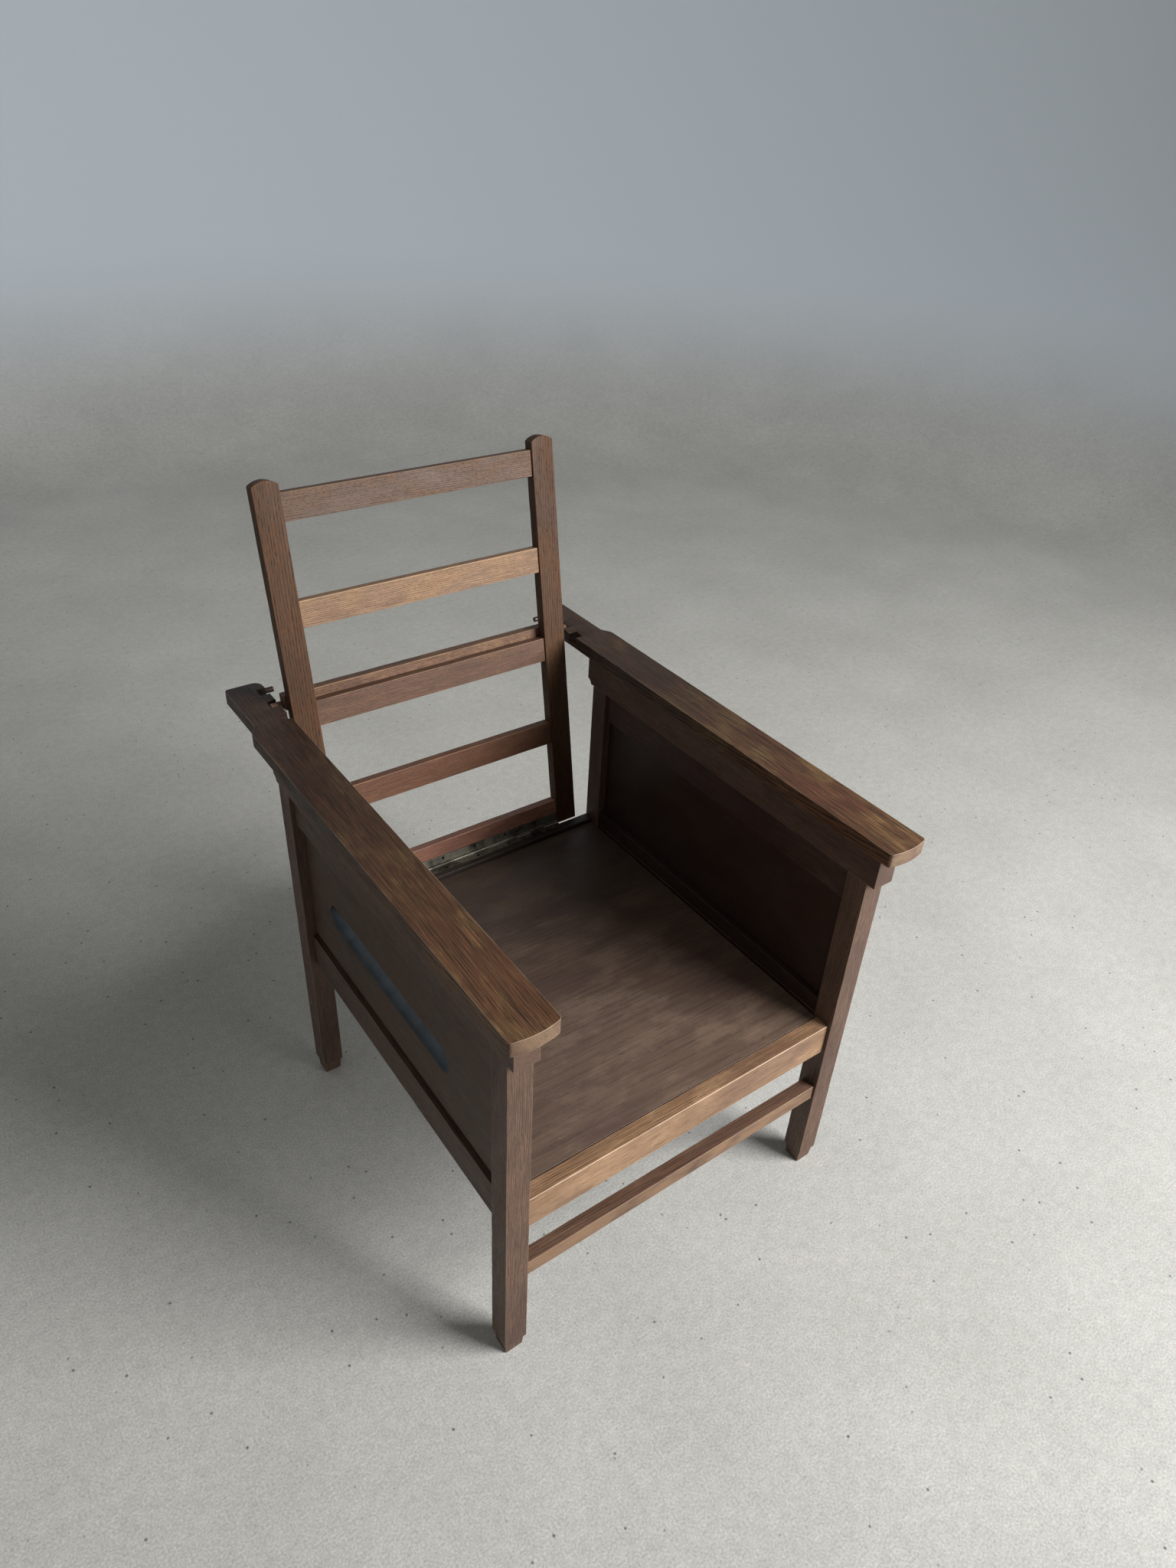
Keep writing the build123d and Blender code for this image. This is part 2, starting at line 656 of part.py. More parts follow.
# Ladder back: five rails, from the hinge rail upwards, tenoned in the stiles
tenon_front_out = rail_front_out + (back_rail_thickness - back_tenon_thickness) / 2
first_rail_top = back_rail_above_hinge + back_rail_height
last_rail_top = stile_shoulder_height - top_rail_below_shoulder
back_rail_pitch = (last_rail_top - first_rail_top) / (back_rail_count - 1)
rail_tops = [first_rail_top + i * back_rail_pitch for i in range(back_rail_count)]
for i, top in enumerate(rail_tops):
    bottom = top - back_rail_height
    with BuildPart() as back_rail:
        board(rail_front_out, stile_inner_x, bottom, top, back_rail_thickness)
        board(tenon_front_out, stile_inner_x + back_tenon_length,
              bottom + tenon_shoulder, top - tenon_shoulder, back_tenon_thickness)
        if i == 0:
            hinge_screws(upper_screw_middle, ALONG_Y, screw_clearance, Mode.SUBTRACT)
    save(lean(back_rail), f"back_rail_{i + 1}")

# Stiles with arched tops
stile_foot_z = hinge_z - stile_foot_below_hinge
stile_shoulder_z = hinge_z + stile_shoulder_height
with BuildPart() as back_stile:
    with BuildSketch(Plane.XZ.offset(-(hinge_y + stile_front_out))):
        with BuildLine():
            Polyline((stile_inner_x, stile_shoulder_z), (stile_inner_x, stile_foot_z),
                     (stile_outer_x, stile_foot_z), (stile_outer_x, stile_shoulder_z))
            ThreePointArc((stile_outer_x, stile_shoulder_z),
                          ((stile_inner_x + stile_outer_x) / 2, stile_shoulder_z + stile_top_rise),
                          (stile_inner_x, stile_shoulder_z))
        make_face()
    extrude(amount=-stile_thickness)
    fillet(back_stile.faces().filter_by(Axis.Y).edges(), radius=stile_edge_radius)
    for top in rail_tops:
        board(tenon_front_out - glue_gap, stile_inner_x + back_tenon_length + glue_gap,
              top - back_rail_height + tenon_shoulder - glue_gap, top - tenon_shoulder + glue_gap,
              back_tenon_thickness + 2 * glue_gap, mode=Mode.SUBTRACT)
save_pair(lean(back_stile), "back_stile")

# Support bar: its front face stands against the stiles, its ends are bored
# for the two pins that lie in the notches
bar_pin_end_x = arm_inner_x + notch_reach - bar_pin_end_gap
bar_pin_start_x = bar_pin_end_x - bar_pin_length
upright_pin_y = hinge_y + bar_middle_out
upright_pin_z = hinge_z + pin_up
with BuildPart() as support_bar:
    board(bar_front_out, arm_inner_x - bar_end_gap, bar_middle_up - bar_height / 2,
          bar_middle_up + bar_height / 2, bar_depth)
    fillet(support_bar.edges().filter_by(Axis.X), radius=bar_edge_radius)
    rod((bar_pin_start_x - glue_gap, upright_pin_y, upright_pin_z), bar_pin_length,
        bar_pin_radius + glue_gap, ALONG_X, mode=Mode.SUBTRACT)
    rod((-bar_pin_start_x + glue_gap, upright_pin_y, upright_pin_z), bar_pin_length,
        bar_pin_radius + glue_gap, ALONG_MINUS_X, mode=Mode.SUBTRACT)
save(lean(support_bar), "support_bar")

with BuildPart() as bar_pin:
    rod((bar_pin_start_x, upright_pin_y, upright_pin_z), bar_pin_length, bar_pin_radius, ALONG_X)
save_pair(lean(bar_pin), "bar_pin")
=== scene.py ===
# %% [markdown]
# # A reclining armchair in dark oak
#
# The chair is an early adjustable armchair: two panelled sides, a seat board
# and a ladder back on a strip hinge. A loose bar behind the back lies in
# notches of the arms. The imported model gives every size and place. This
# script puts boards over it, with eased, worn edges and the grain along each
# of them, and then slotted screws, a dished pocket and worn metal.
#
# Everything is in metres. X runs across the chair, Y from front to back and
# Z up. A piece keeps its place in its mesh, and its object stays at the origin.

# %% The frame
import json
import math

import bmesh
import bpy
from mathutils import Matrix, Vector, noise


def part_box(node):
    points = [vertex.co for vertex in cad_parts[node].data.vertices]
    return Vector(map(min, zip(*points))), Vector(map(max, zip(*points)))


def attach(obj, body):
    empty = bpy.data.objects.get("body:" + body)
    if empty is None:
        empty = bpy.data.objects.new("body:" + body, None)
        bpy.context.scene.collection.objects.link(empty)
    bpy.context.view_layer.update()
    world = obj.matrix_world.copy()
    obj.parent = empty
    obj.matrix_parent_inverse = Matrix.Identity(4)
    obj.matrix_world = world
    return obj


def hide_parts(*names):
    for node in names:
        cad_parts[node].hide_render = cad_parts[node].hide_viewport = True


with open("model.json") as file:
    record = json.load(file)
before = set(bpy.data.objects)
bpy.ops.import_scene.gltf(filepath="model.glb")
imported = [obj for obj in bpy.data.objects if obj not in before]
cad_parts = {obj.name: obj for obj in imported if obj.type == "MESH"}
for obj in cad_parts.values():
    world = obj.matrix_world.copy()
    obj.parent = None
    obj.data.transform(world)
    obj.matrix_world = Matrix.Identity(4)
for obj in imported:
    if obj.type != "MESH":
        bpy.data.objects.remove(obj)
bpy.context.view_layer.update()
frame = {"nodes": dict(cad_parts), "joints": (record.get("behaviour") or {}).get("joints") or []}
MM = 0.001
scene = bpy.context.scene

# %% [markdown]
# ## Camera
#
# The photograph looks down on the chair from the front left, with the phone
# held slightly askew. The camera's place and angles were worked out from the
# chair's straight edges, so they are given as measured numbers. The lens is
# given by its focal length in pixels of the picture, because that is what
# was measured, and the sensor's long side turns it into millimetres.

# %% Camera
PICTURE_HEIGHT = 2048
SENSOR_LONG_SIDE = 36.0
FOCAL_PIXELS = 1408.75
CAMERA_AT = Vector((-0.7425, -1.0742, 1.5583))
AZIMUTH, ELEVATION, ROLL = (math.radians(a) for a in (-37.37, 34.50, 3.29))

back = Vector((math.sin(AZIMUTH) * math.cos(ELEVATION),
               -math.cos(AZIMUTH) * math.cos(ELEVATION), math.sin(ELEVATION)))
level_right = Vector((math.cos(AZIMUTH), math.sin(AZIMUTH), 0))
level_up = back.cross(level_right)
right = math.cos(ROLL) * level_right + math.sin(ROLL) * level_up
up = math.cos(ROLL) * level_up - math.sin(ROLL) * level_right

camera = bpy.data.objects.new("camera", bpy.data.cameras.new("camera"))
camera.data.sensor_width = SENSOR_LONG_SIDE
camera.data.lens = FOCAL_PIXELS * camera.data.sensor_width / PICTURE_HEIGHT
camera_turn = Matrix((right, up, back)).transposed().to_4x4()
camera.matrix_world = Matrix.Translation(CAMERA_AT) @ camera_turn
scene.collection.objects.link(camera)
scene.camera = camera
print("the lens is", round(camera.data.lens, 2), "mm")

# %% [markdown]
# ## Materials: small helpers
#
# Colours are written as hex values, the way a colour picker shows them, and
# shaders want linear values. Nodes are added by one function, which sets
# properties and sockets and joins links, so a material reads as a recipe.


# %% Colour and node helpers
def linear(hex_colour):
    """The linear colour, with alpha, of an sRGB hex value such as 7a5538."""
    parts = [int(hex_colour[i:i + 2], 16) / 255 for i in (0, 2, 4)]
    return [p / 12.92 if p <= 0.04045 else ((p + 0.055) / 1.055) ** 2.4 for p in parts] + [1.0]


def add(tree, kind, settings, links=None):
    """Add a node. Settings name properties or sockets, and links feed sockets."""
    node = tree.nodes.new(kind)
    for key, value in settings.items():
        if isinstance(key, int) or key in node.inputs:
            node.inputs[key].default_value = value
        else:
            setattr(node, key, value)
    for key, source in (links or {}).items():
        tree.links.new(source, node.inputs[key])
    return node


def new_material(name, **sockets):
    """A material with its Principled shader's plain sockets set."""
    material = bpy.data.materials.new(name)
    material.use_nodes = True
    shader = material.node_tree.nodes["Principled BSDF"]
    for key, value in sockets.items():
        shader.inputs[key.replace("_", " ")].default_value = value
    return material, material.node_tree, shader


print("white, ffffff, is", linear("ffffff"))

# %% [markdown]
# ## Picture
#
# The picture's colours are shown plainly, without a film curve, because a
# phone shows deep browns and dark shadows in the same way.

# %% Picture
scene.view_settings.view_transform = "Standard"
scene.view_settings.look = "None"
print("the view transform is", scene.view_settings.view_transform)

# %% [markdown]
# ## Floor
#
# The chair stands on a plain pale concrete floor that sweeps up into a pale
# wall all round it, as in a round photo studio, so it has a quiet ground from
# every side. Broad clouds, sand and thumb-sized blotches vary its tone a
# little, and a few small dark stones show in it. Voronoi cells place the
# stones: a share of the cells has one, and its edge fades between two
# distances from the cell's point, counted in cells.

# %% Concrete
CLOUD_COLOURS = (linear("a09e98"), linear("c0beb8"))
WALL_COLOUR = linear("c6cdd3")
WALL_FROM, WALL_TO = 0.02, 0.7
STONE_COLOUR = linear("45433f")
STONE_SPACING = 0.020
STONE_SHARE = 0.20
STONE_STRENGTH = 0.8
STONE_EDGE_FROM, STONE_EDGE_TO = 0.06, 0.14
# Sand and blotches: scale, roughness, darkest and palest factor.
SPECKLES = ((300.0, 0.7, 0.74, 1.22), (55.0, 0.6, 0.93, 1.06))
# Nearly all values of a noise lie between these.
NOISE_LOW, NOISE_HIGH = 0.3, 0.7

# Sealed concrete is dull and hardly mirrors the light.
concrete, tree, shader = new_material("sealed_concrete_floor", Roughness=0.85,
                                      Specular_IOR_Level=0.25)
spot = add(tree, "ShaderNodeTexCoord", {}).outputs["Object"]
cloud = add(tree, "ShaderNodeTexNoise", {"Scale": 2.4, "Detail": 6.0, "Roughness": 0.62},
            {"Vector": spot}).outputs["Fac"]
ground = add(tree, "ShaderNodeMix",
             {"data_type": "RGBA", 6: CLOUD_COLOURS[0], 7: CLOUD_COLOURS[1]},
             {0: cloud}).outputs[2]
for scale, roughness, darkest, palest in SPECKLES:
    grains = add(tree, "ShaderNodeTexNoise",
                 {"Scale": scale, "Detail": 3.0, "Roughness": roughness},
                 {"Vector": spot}).outputs["Fac"]
    factor = add(tree, "ShaderNodeMapRange",
                 {"From Min": NOISE_LOW, "From Max": NOISE_HIGH,
                  "To Min": darkest, "To Max": palest},
                 {"Value": grains}).outputs["Result"]
    ground = add(tree, "ShaderNodeMix", {"data_type": "RGBA", "blend_type": "MULTIPLY", 0: 1.0},
                 {6: ground, 7: factor}).outputs[2]

stone = add(tree, "ShaderNodeTexVoronoi", {"Scale": 1 / STONE_SPACING}, {"Vector": spot})
draw = add(tree, "ShaderNodeSeparateColor", {}, {0: stone.outputs["Color"]}).outputs[0]
chosen = add(tree, "ShaderNodeMath", {"operation": "LESS_THAN", 1: STONE_SHARE},
             {0: draw}).outputs[0]
shown = add(tree, "ShaderNodeMapRange",
            {"From Min": STONE_EDGE_FROM, "From Max": STONE_EDGE_TO,
             "To Min": STONE_STRENGTH, "To Max": 0.0},
            {"Value": stone.outputs["Distance"]}).outputs["Result"]
flecks = add(tree, "ShaderNodeMath", {"operation": "MULTIPLY"}, {0: chosen, 1: shown}).outputs[0]
height = add(tree, "ShaderNodeSeparateXYZ", {}, {0: spot}).outputs["Z"]
rise = add(tree, "ShaderNodeMapRange",
           {"interpolation_type": "SMOOTHSTEP", "From Min": WALL_FROM, "From Max": WALL_TO},
           {"Value": height}).outputs["Result"]
for amount, coat in ((flecks, STONE_COLOUR), (rise, WALL_COLOUR)):
    ground = add(tree, "ShaderNodeMix", {"data_type": "RGBA", 7: coat},
                 {0: amount, 6: ground}).outputs[2]
tree.links.new(ground, shader.inputs["Base Color"])
print("the floor's concrete has", len(tree.nodes), "nodes")

# %% [markdown]
# The outline of the floor and the wall is drawn once, from the middle
# outwards and up, and spun about the upright axis.

# %% Floor and wall
FLOOR_RADIUS = 3.4
SWEEP_RADIUS = 1.6
WALL_TOP = 4.2
SWEEP_STEPS = 16
ROUND_WALL_STEPS = 96

bm = bmesh.new()
profile = [(0.0, 0.0), (FLOOR_RADIUS, 0.0)]
for i in range(1, SWEEP_STEPS + 1):
    turn = math.radians(90) * i / SWEEP_STEPS
    profile.append((FLOOR_RADIUS + SWEEP_RADIUS * math.sin(turn),
                    SWEEP_RADIUS * (1 - math.cos(turn))))
profile.append((FLOOR_RADIUS + SWEEP_RADIUS, WALL_TOP))
line = [bm.verts.new((x, 0, z)) for x, z in profile]
edges = [bm.edges.new(pair) for pair in zip(line, line[1:])]
bmesh.ops.spin(bm, geom=line + edges, cent=(0, 0, 0), axis=(0, 0, 1), angle=math.radians(360),
               steps=ROUND_WALL_STEPS, use_merge=True)
bmesh.ops.remove_doubles(bm, verts=bm.verts, dist=MM)
bmesh.ops.recalc_face_normals(bm, faces=bm.faces)
if min(bm.faces, key=lambda f: f.calc_center_median().xy.length).normal.z < 0:
    bmesh.ops.reverse_faces(bm, faces=bm.faces)
mesh = bpy.data.meshes.new("floor")
bm.to_mesh(mesh)
bm.free()
mesh.shade_smooth()
mesh.materials.append(concrete)
floor = bpy.data.objects.new("floor", mesh)
scene.collection.objects.link(floor)
print("a round floor and wall of", len(mesh.polygons), "faces")

# %% [markdown]
# ## Light
#
# One large soft light stands in front and to the right, where the room's
# windows are, so fronts are brighter than tops and the right panel shades
# the seat. The world fills the shadows with a weak light.

# %% Light
WINDOW_AT = Vector((2.1, -2.95, 2.3))
WINDOW_AIM = Vector((0.0, -0.1, 0.9))
WINDOW_SIZE = 2.2
WINDOW_SPREAD = math.radians(140)
WINDOW_POWER = 220.0
WINDOW_COLOUR = linear("fcfdff")
ROOM_POWER = 0.30
ROOM_COLOUR = linear("e0ddd6")

window = bpy.data.objects.new("window_light", bpy.data.lights.new("window_light", "AREA"))
window.data.shape = "SQUARE"
window.data.size = WINDOW_SIZE
window.data.spread = WINDOW_SPREAD
window.data.energy = WINDOW_POWER
window.data.color = WINDOW_COLOUR[:3]
window.location = WINDOW_AT
window.rotation_euler = (WINDOW_AT - WINDOW_AIM).to_track_quat("Z", "Y").to_euler()
window.visible_camera = False
scene.collection.objects.link(window)

room = bpy.data.worlds.new("room")
room.use_nodes = True
room.node_tree.nodes["Background"].inputs["Color"].default_value = ROOM_COLOUR
room.node_tree.nodes["Background"].inputs["Strength"].default_value = ROOM_POWER
scene.world = room
print("one window light of", WINDOW_POWER, "W and a room light of", ROOM_POWER)

# %% [markdown]
# ## Oak
#
# Oak is a ring-porous wood: each year starts with a row of open pores, which
# stain and dirt turn into dark dashes along the grain, and ends in dense,
# smoother wood. A board's face is a slice through those rings, so the rings
# are drawn as cylinders round the heart of the tree, which lies some
# centimetres outside the board. Faces along the grain then show long lines,
# and the board's ends show arcs, with nothing mapped by hand. Pores are
# really 0.3 mm wide, too fine to show at this size, so they are drawn about
# twice as wide.
#
# The chair was fumed or stained dark and then waxed. Hands and dusters have
# since rubbed the stain thin on the tops, which look golden, and the edges
# are rubbed to the bare wood. Each finish below is one part's own mixture.
# Its colours are those of the first and last wood of a year, of golden and
# red patches, of the pores, and of the rubbed edges. Its habits are:
#
# - ring: the width of a year, in millimetres
# - pore_width and pore_length: in millimetres
# - open: how high a noise must be for a pore to show
# - streak: the contrast of the fibres
# - heart: how far off the tree's heart lies, in metres
# - rough and shine: the roughness of the wax, and how much it reflects
# - rear: how bright the board still is at the rear of the chair, where painted shade darkens it
# - mottle: how strong the golden and red patches are
# - rub: how bare the edges are rubbed

# %% Oak finishes
COATS = ("early", "late", "warm", "red", "pore", "worn")
OAK_COLOURS = {
    "arm": ("1c1009", "5b3d26", "745a35", "4a261a", "0d0604", "a08c76"),
    "frame": ("3f2d24", "594235", "5e4737", "402a22", "2a1c16", "967a60"),
    "panel": ("3d2a1e", "463225", "4b3627", "3c261c", "2b1c14", "4d3d34"),
    "seat": ("57453b", "5f4d41", "776252", "4b3833", "47372e", "6f5644"),
    "rail": ("634935", "86664a", "937354", "634736", "413022", "c8a98c"),
    "back": ("4a3528", "624937", "6d523b", "4d352a", "3d2b21", "8f745b"),
    "stile": ("3f322a", "625141", "6f5c48", "4c3b33", "1d1612", "8f745b"),
    "bar": ("513829", "694c39", "7d6147", "472e22", "2a1c15", "a07d60"),
}
HABITS = ("ring", "pore_width", "pore_length", "open", "streak", "heart",
          "rough", "shine", "rear", "mottle", "rub")
# The rear habit is painted shade: the arm and the seat are drawn darker towards the back of the
# chair.
OAK_HABITS = {
    "arm": (1.7, 0.6, 30.0, 0.46, 0.75, (0.16, 0.05), 0.42, 0.45, 0.35, 0.5, 0.6),
    "frame": (2.4, 0.6, 12.0, 0.55, 0.42, (0.10, 0.13), 0.50, 0.45, 1.0, 0.5, 0.4),
    "panel": (7.0, 0.6, 12.0, 0.60, 0.10, (0.40, 0.90), 0.42, 0.40, 1.0, 0.5, 0.2),
    "seat": (3.5, 0.5, 7.0, 0.56, 0.22, (0.35, 0.80), 0.40, 0.50, 0.58, 0.45, 0.3),
    "rail": (2.6, 0.6, 12.0, 0.54, 0.36, (0.12, 0.10), 0.44, 0.50, 1.0, 0.65, 0.7),
    "back": (2.4, 0.6, 5.0, 0.50, 0.34, (0.09, 0.07), 0.54, 0.40, 1.0, 0.5, 0.55),
    "stile": (3.2, 0.7, 11.0, 0.54, 0.30, (0.07, 0.05), 0.56, 0.25, 1.0, 0.4, 0.3),
    "bar": (2.6, 0.8, 8.0, 0.52, 0.34, (0.08, 0.10), 0.62, 0.35, 1.0, 0.6, 0.5),
}
print(len(OAK_HABITS), "oak finishes:", ", ".join(OAK_HABITS))

# %% [markdown]
# Every board turns the pattern so that its own length is along the grain,
# and moves it by its seed, so that no two boards look alike. Each kind of
# board starts at a seed of its own. The grain is never quite parallel to a
# board, and the rings are drawn out along it, so they waver instead of
# running straight.

# %% Oak
FIRST_SEED = {"leg": 1, "under_arm_rail": 11, "side_rail": 21, "bead": 31, "panel": 41, "arm": 51,
              "cross_rail": 61, "seat": 71, "cleat": 81, "stile": 91, "back_rail": 101,
              "bar": 111, "rod": 121, "dowel": 131}
OFFSET_PER_SEED = Vector((0.37, 0.113, 0.071))
RINGS_PER_SEED = 1.7
RING_SPAN = math.pi / 10
WAVY_SHARE = 0.05
GRAIN_SLOPE = math.radians(1.2)
# Between these depths the boards are painted darker towards the rear of the chair, as painted
# shade.
SHADE_REAR_FROM, SHADE_REAR_TO = -0.36, 0.18
PORE_DULLNESS = 0.25
PORE_RELIEF = 0.2 * MM
PLAIN = (1.0, 1.0, 1.0)


def oak(node, finish, grain, seed, tone=PLAIN):
    """Stained oak for the board of a CAD node, with its grain along a direction.

    The finish's colours are multiplied by the tone.
    """
    look = dict(zip(HABITS, OAK_HABITS[finish]))
    colour = {coat: [t * c for t, c in zip(tone, linear(hex_colour))] + [1.0]
              for coat, hex_colour in zip(COATS, OAK_COLOURS[finish])}
    material, tree, shader = new_material(f"fumed_oak_{finish}_{node}",
                                          Specular_IOR_Level=look["shine"])
    place = add(tree, "ShaderNodeTexCoord", {}).outputs["Object"]
    turn = (Matrix.Rotation(GRAIN_SLOPE, 3, "Z")
            @ Vector(grain).rotation_difference(Vector((1, 0, 0))).to_matrix())
    centre = turn @ (sum(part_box(node), Vector()) / 2)
    wood = add(tree, "ShaderNodeMapping",
               {"Rotation": turn.to_euler(), "Location": OFFSET_PER_SEED * seed - centre},
               {"Vector": place}).outputs["Vector"]
    squared = add(tree, "ShaderNodeMapping", {"Rotation": turn.to_euler(), "Location": -centre},
                  {"Vector": place}).outputs["Vector"]
    heart = add(tree, "ShaderNodeMapping",
                {"Location": (0, *look["heart"]), "Scale": (WAVY_SHARE, 1, 1)},
                {"Vector": squared}).outputs["Vector"]
    rings = add(tree, "ShaderNodeTexWave",
                {"wave_type": "RINGS", "rings_direction": "X", "wave_profile": "SAW",
                 "Scale": RING_SPAN / (look["ring"] * MM), "Distortion": 8.0,
                 "Detail": 3.0, "Detail Scale": 0.2, "Detail Roughness": 0.5,
                 "Phase Offset": RINGS_PER_SEED * seed},
                {"Vector": heart}).outputs["Fac"]

    # Noises drawn out along the grain: scale per metre along it and across it, detail, roughness.
    length, width = look["pore_length"] * MM, look["pore_width"] * MM
    noises = {}
    for name, lengthwise, across, detail, rough in (("dashes", 1 / length, 0.6 / width, 1.0, 0.5),
                                                    ("fine", 22, 1100, 2.0, 0.6),
                                                    ("coarse", 9, 560, 4.0, 0.7),
                                                    ("patches", 13, 26, 4.0, 0.6),
                                                    ("warmth", 5, 15, 3.0, 0.55)):
        at = add(tree, "ShaderNodeMapping", {"Scale": (lengthwise, across, across)},
                 {"Vector": wood}).outputs["Vector"]
        noises[name] = add(tree, "ShaderNodeTexNoise",
                           {"Scale": 1.0, "Detail": detail, "Roughness": rough},
                           {"Vector": at}).outputs["Fac"]
    fibre = add(tree, "ShaderNodeMath", {"operation": "ADD"},
                {0: noises["fine"], 1: noises["coarse"]}).outputs["Value"]
    depth_y = add(tree, "ShaderNodeSeparateXYZ", {}, {0: place}).outputs["Y"]

    # Each of these stretches one value between two limits, smoothly, to where it is needed.
    eased = {}
    for name, value, low_in, high_in, low_out, high_out in (
            ("late", rings, 0.0, 0.4, 0.0, 1.0),
            ("early", rings, 0.0, 0.5, 1.0, 0.15),
            ("open", noises["dashes"], look["open"], look["open"] + 0.07, 0.0, 1.0),
            ("warm", noises["patches"], 0.46, 0.62, 0.0, look["mottle"]),
            ("red", noises["warmth"], 0.48, 0.64, 0.0, look["mottle"]),
            ("shade", fibre, 0.7, 1.3, 1 - look["streak"], 1 + look["streak"]),
            # rear: painted shade, darker towards the back of the chair.
            ("rear", depth_y, SHADE_REAR_FROM, SHADE_REAR_TO, 1.0, look["rear"]),
            ("rubbed", noises["patches"], 0.32, 0.58, 0.2 * look["rub"], look["rub"]),
            ("gloss", noises["patches"], NOISE_LOW, NOISE_HIGH,
             look["rough"] - 0.07, look["rough"] + 0.12)):
        eased[name] = add(tree, "ShaderNodeMapRange",
                          {"interpolation_type": "SMOOTHSTEP",
                           "From Min": low_in, "From Max": high_in,
                           "To Min": low_out, "To Max": high_out},
                          {"Value": value}).outputs["Result"]
    pores = add(tree, "ShaderNodeMath", {"operation": "MULTIPLY"},
                {0: eased["open"], 1: eased["early"]}).outputs["Value"]
    edge = add(tree, "ShaderNodeAttribute", {"attribute_name": "worn_edge"}).outputs["Fac"]
    rubbed = add(tree, "ShaderNodeMath", {"operation": "MULTIPLY"},
                 {0: edge, 1: eased["rubbed"]}).outputs["Value"]

    # The colour is laid on in coats: rings, golden and red patches, fibres, painted shade towards
    # the rear, pores, rubbed edges.
    body = add(tree, "ShaderNodeMix",
               {"data_type": "RGBA", 6: colour["early"], 7: colour["late"]},
               {0: eased["late"]}).outputs[2]
    for coat in ("warm", "red"):
        body = add(tree, "ShaderNodeMix", {"data_type": "RGBA", 7: colour[coat]},
                   {0: eased[coat], 6: body}).outputs[2]
    # The fibres darken the colour, and so does the painted shade towards the rear.
    for shade in ("shade", "rear"):
        body = add(tree, "ShaderNodeMix", {"data_type": "RGBA", "blend_type": "MULTIPLY", 0: 1.0},
                   {6: body, 7: eased[shade]}).outputs[2]
    for coat, amount in (("pore", pores), ("worn", rubbed)):
        body = add(tree, "ShaderNodeMix", {"data_type": "RGBA", 7: colour[coat]},
                   {0: amount, 6: body}).outputs[2]
    tree.links.new(body, shader.inputs["Base Color"])

    dull = add(tree, "ShaderNodeMath",
               {"operation": "MULTIPLY_ADD", 1: PORE_DULLNESS, "use_clamp": True},
               {0: pores, 2: eased["gloss"]}).outputs["Value"]
    tree.links.new(dull, shader.inputs["Roughness"])
    hollow = add(tree, "ShaderNodeMath", {"operation": "MULTIPLY_ADD", 1: -1.0},
                 {0: pores, 2: fibre}).outputs["Value"]
    relief = add(tree, "ShaderNodeBump", {"Strength": 0.35, "Distance": PORE_RELIEF},
                 {"Height": hollow}).outputs["Normal"]
    tree.links.new(relief, shader.inputs["Normal"])
    return material


print(len(FIRST_SEED), "kinds of board, each with its own seeds")

# %% [markdown]
# ## Shapes
#
# The back is easiest to make as if it stood upright over its hinge, so its
# lean is worked out first, from the axis along which the bar lifts.

# %% The lean of the back
joints = {joint["name"]: joint for joint in frame["joints"]}
lift_axis = Vector(joints["bar_lift"]["axis"])
hinge_at = Vector(joints["back_recline"]["pos_m"])
slope = math.atan2(lift_axis.y, lift_axis.z)
lean = (Matrix.Translation(hinge_at) @ Matrix.Rotation(-slope, 4, "X")
        @ Matrix.Translation(-hinge_at))
unlean = lean.inverted()
print("the back leans", round(math.degrees(slope), 2), "degrees about", tuple(hinge_at))

# %% [markdown]
# A straight board starts as a cube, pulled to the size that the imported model
# gives. Any other starts as a flat outline that is pushed through. Both are
# cut across every couple of centimetres, so that their edges have points that
# wear can move.

# %% Starting a shape
CUT_EVERY = 18 * MM


def upright_box(node):
    """The box of a CAD node of the back, if the back stood upright."""
    points = [unlean @ v.co for v in frame["nodes"][node].data.vertices]
    return (Vector(min(p[i] for p in points) for i in range(3)),
            Vector(max(p[i] for p in points) for i in range(3)))


def leaned(bm):
    """The piece turned from upright to the back's resting slope."""
    bmesh.ops.transform(bm, matrix=lean, verts=bm.verts)
    return bm


def cube(low, high):
    """A bmesh with one box from corner to corner."""
    bm = bmesh.new()
    bmesh.ops.create_cube(bm, size=1.0)
    size, middle = Vector(high) - Vector(low), (Vector(high) + Vector(low)) / 2
    bmesh.ops.transform(bm, matrix=Matrix.LocRotScale(middle, None, size), verts=bm.verts)
    return bm


def prism(outline, push):
    """A flat outline, given as points, pushed into a solid."""
    bm = bmesh.new()
    face = bm.faces.new([bm.verts.new(p) for p in outline])
    moved = bmesh.ops.extrude_face_region(bm, geom=[face])["geom"]
    bmesh.ops.translate(bm, vec=push, verts=[v for v in moved if isinstance(v, bmesh.types.BMVert)])
    bmesh.ops.recalc_face_normals(bm, faces=bm.faces)
    return bm


def cut_across(bm, axis):
    """Cut the piece square to an axis at even steps."""
    low = min(v.co[axis] for v in bm.verts)
    high = max(v.co[axis] for v in bm.verts)
    normal = Vector((0, 0, 0))
    normal[axis] = 1
    count = int((high - low) / CUT_EVERY)
    for i in range(1, count):
        at = normal * (low + (high - low) * i / count)
        bmesh.ops.bisect_plane(bm, geom=bm.verts[:] + bm.edges[:] + bm.faces[:],
                               plane_co=at, plane_no=normal)


print("boards are cut across every", round(CUT_EVERY / MM), "mm")

# %% [markdown]
# ## Wear
#
# Each sharp edge is bevelled, as a plane or a hand would ease it, and pushed
# in here and there by a smooth noise. The bevelled strip carries an
# attribute, worn_edge, so the stain can be rubbed off just there. A front
# face that shoes and knees have rubbed carries a part of it too.

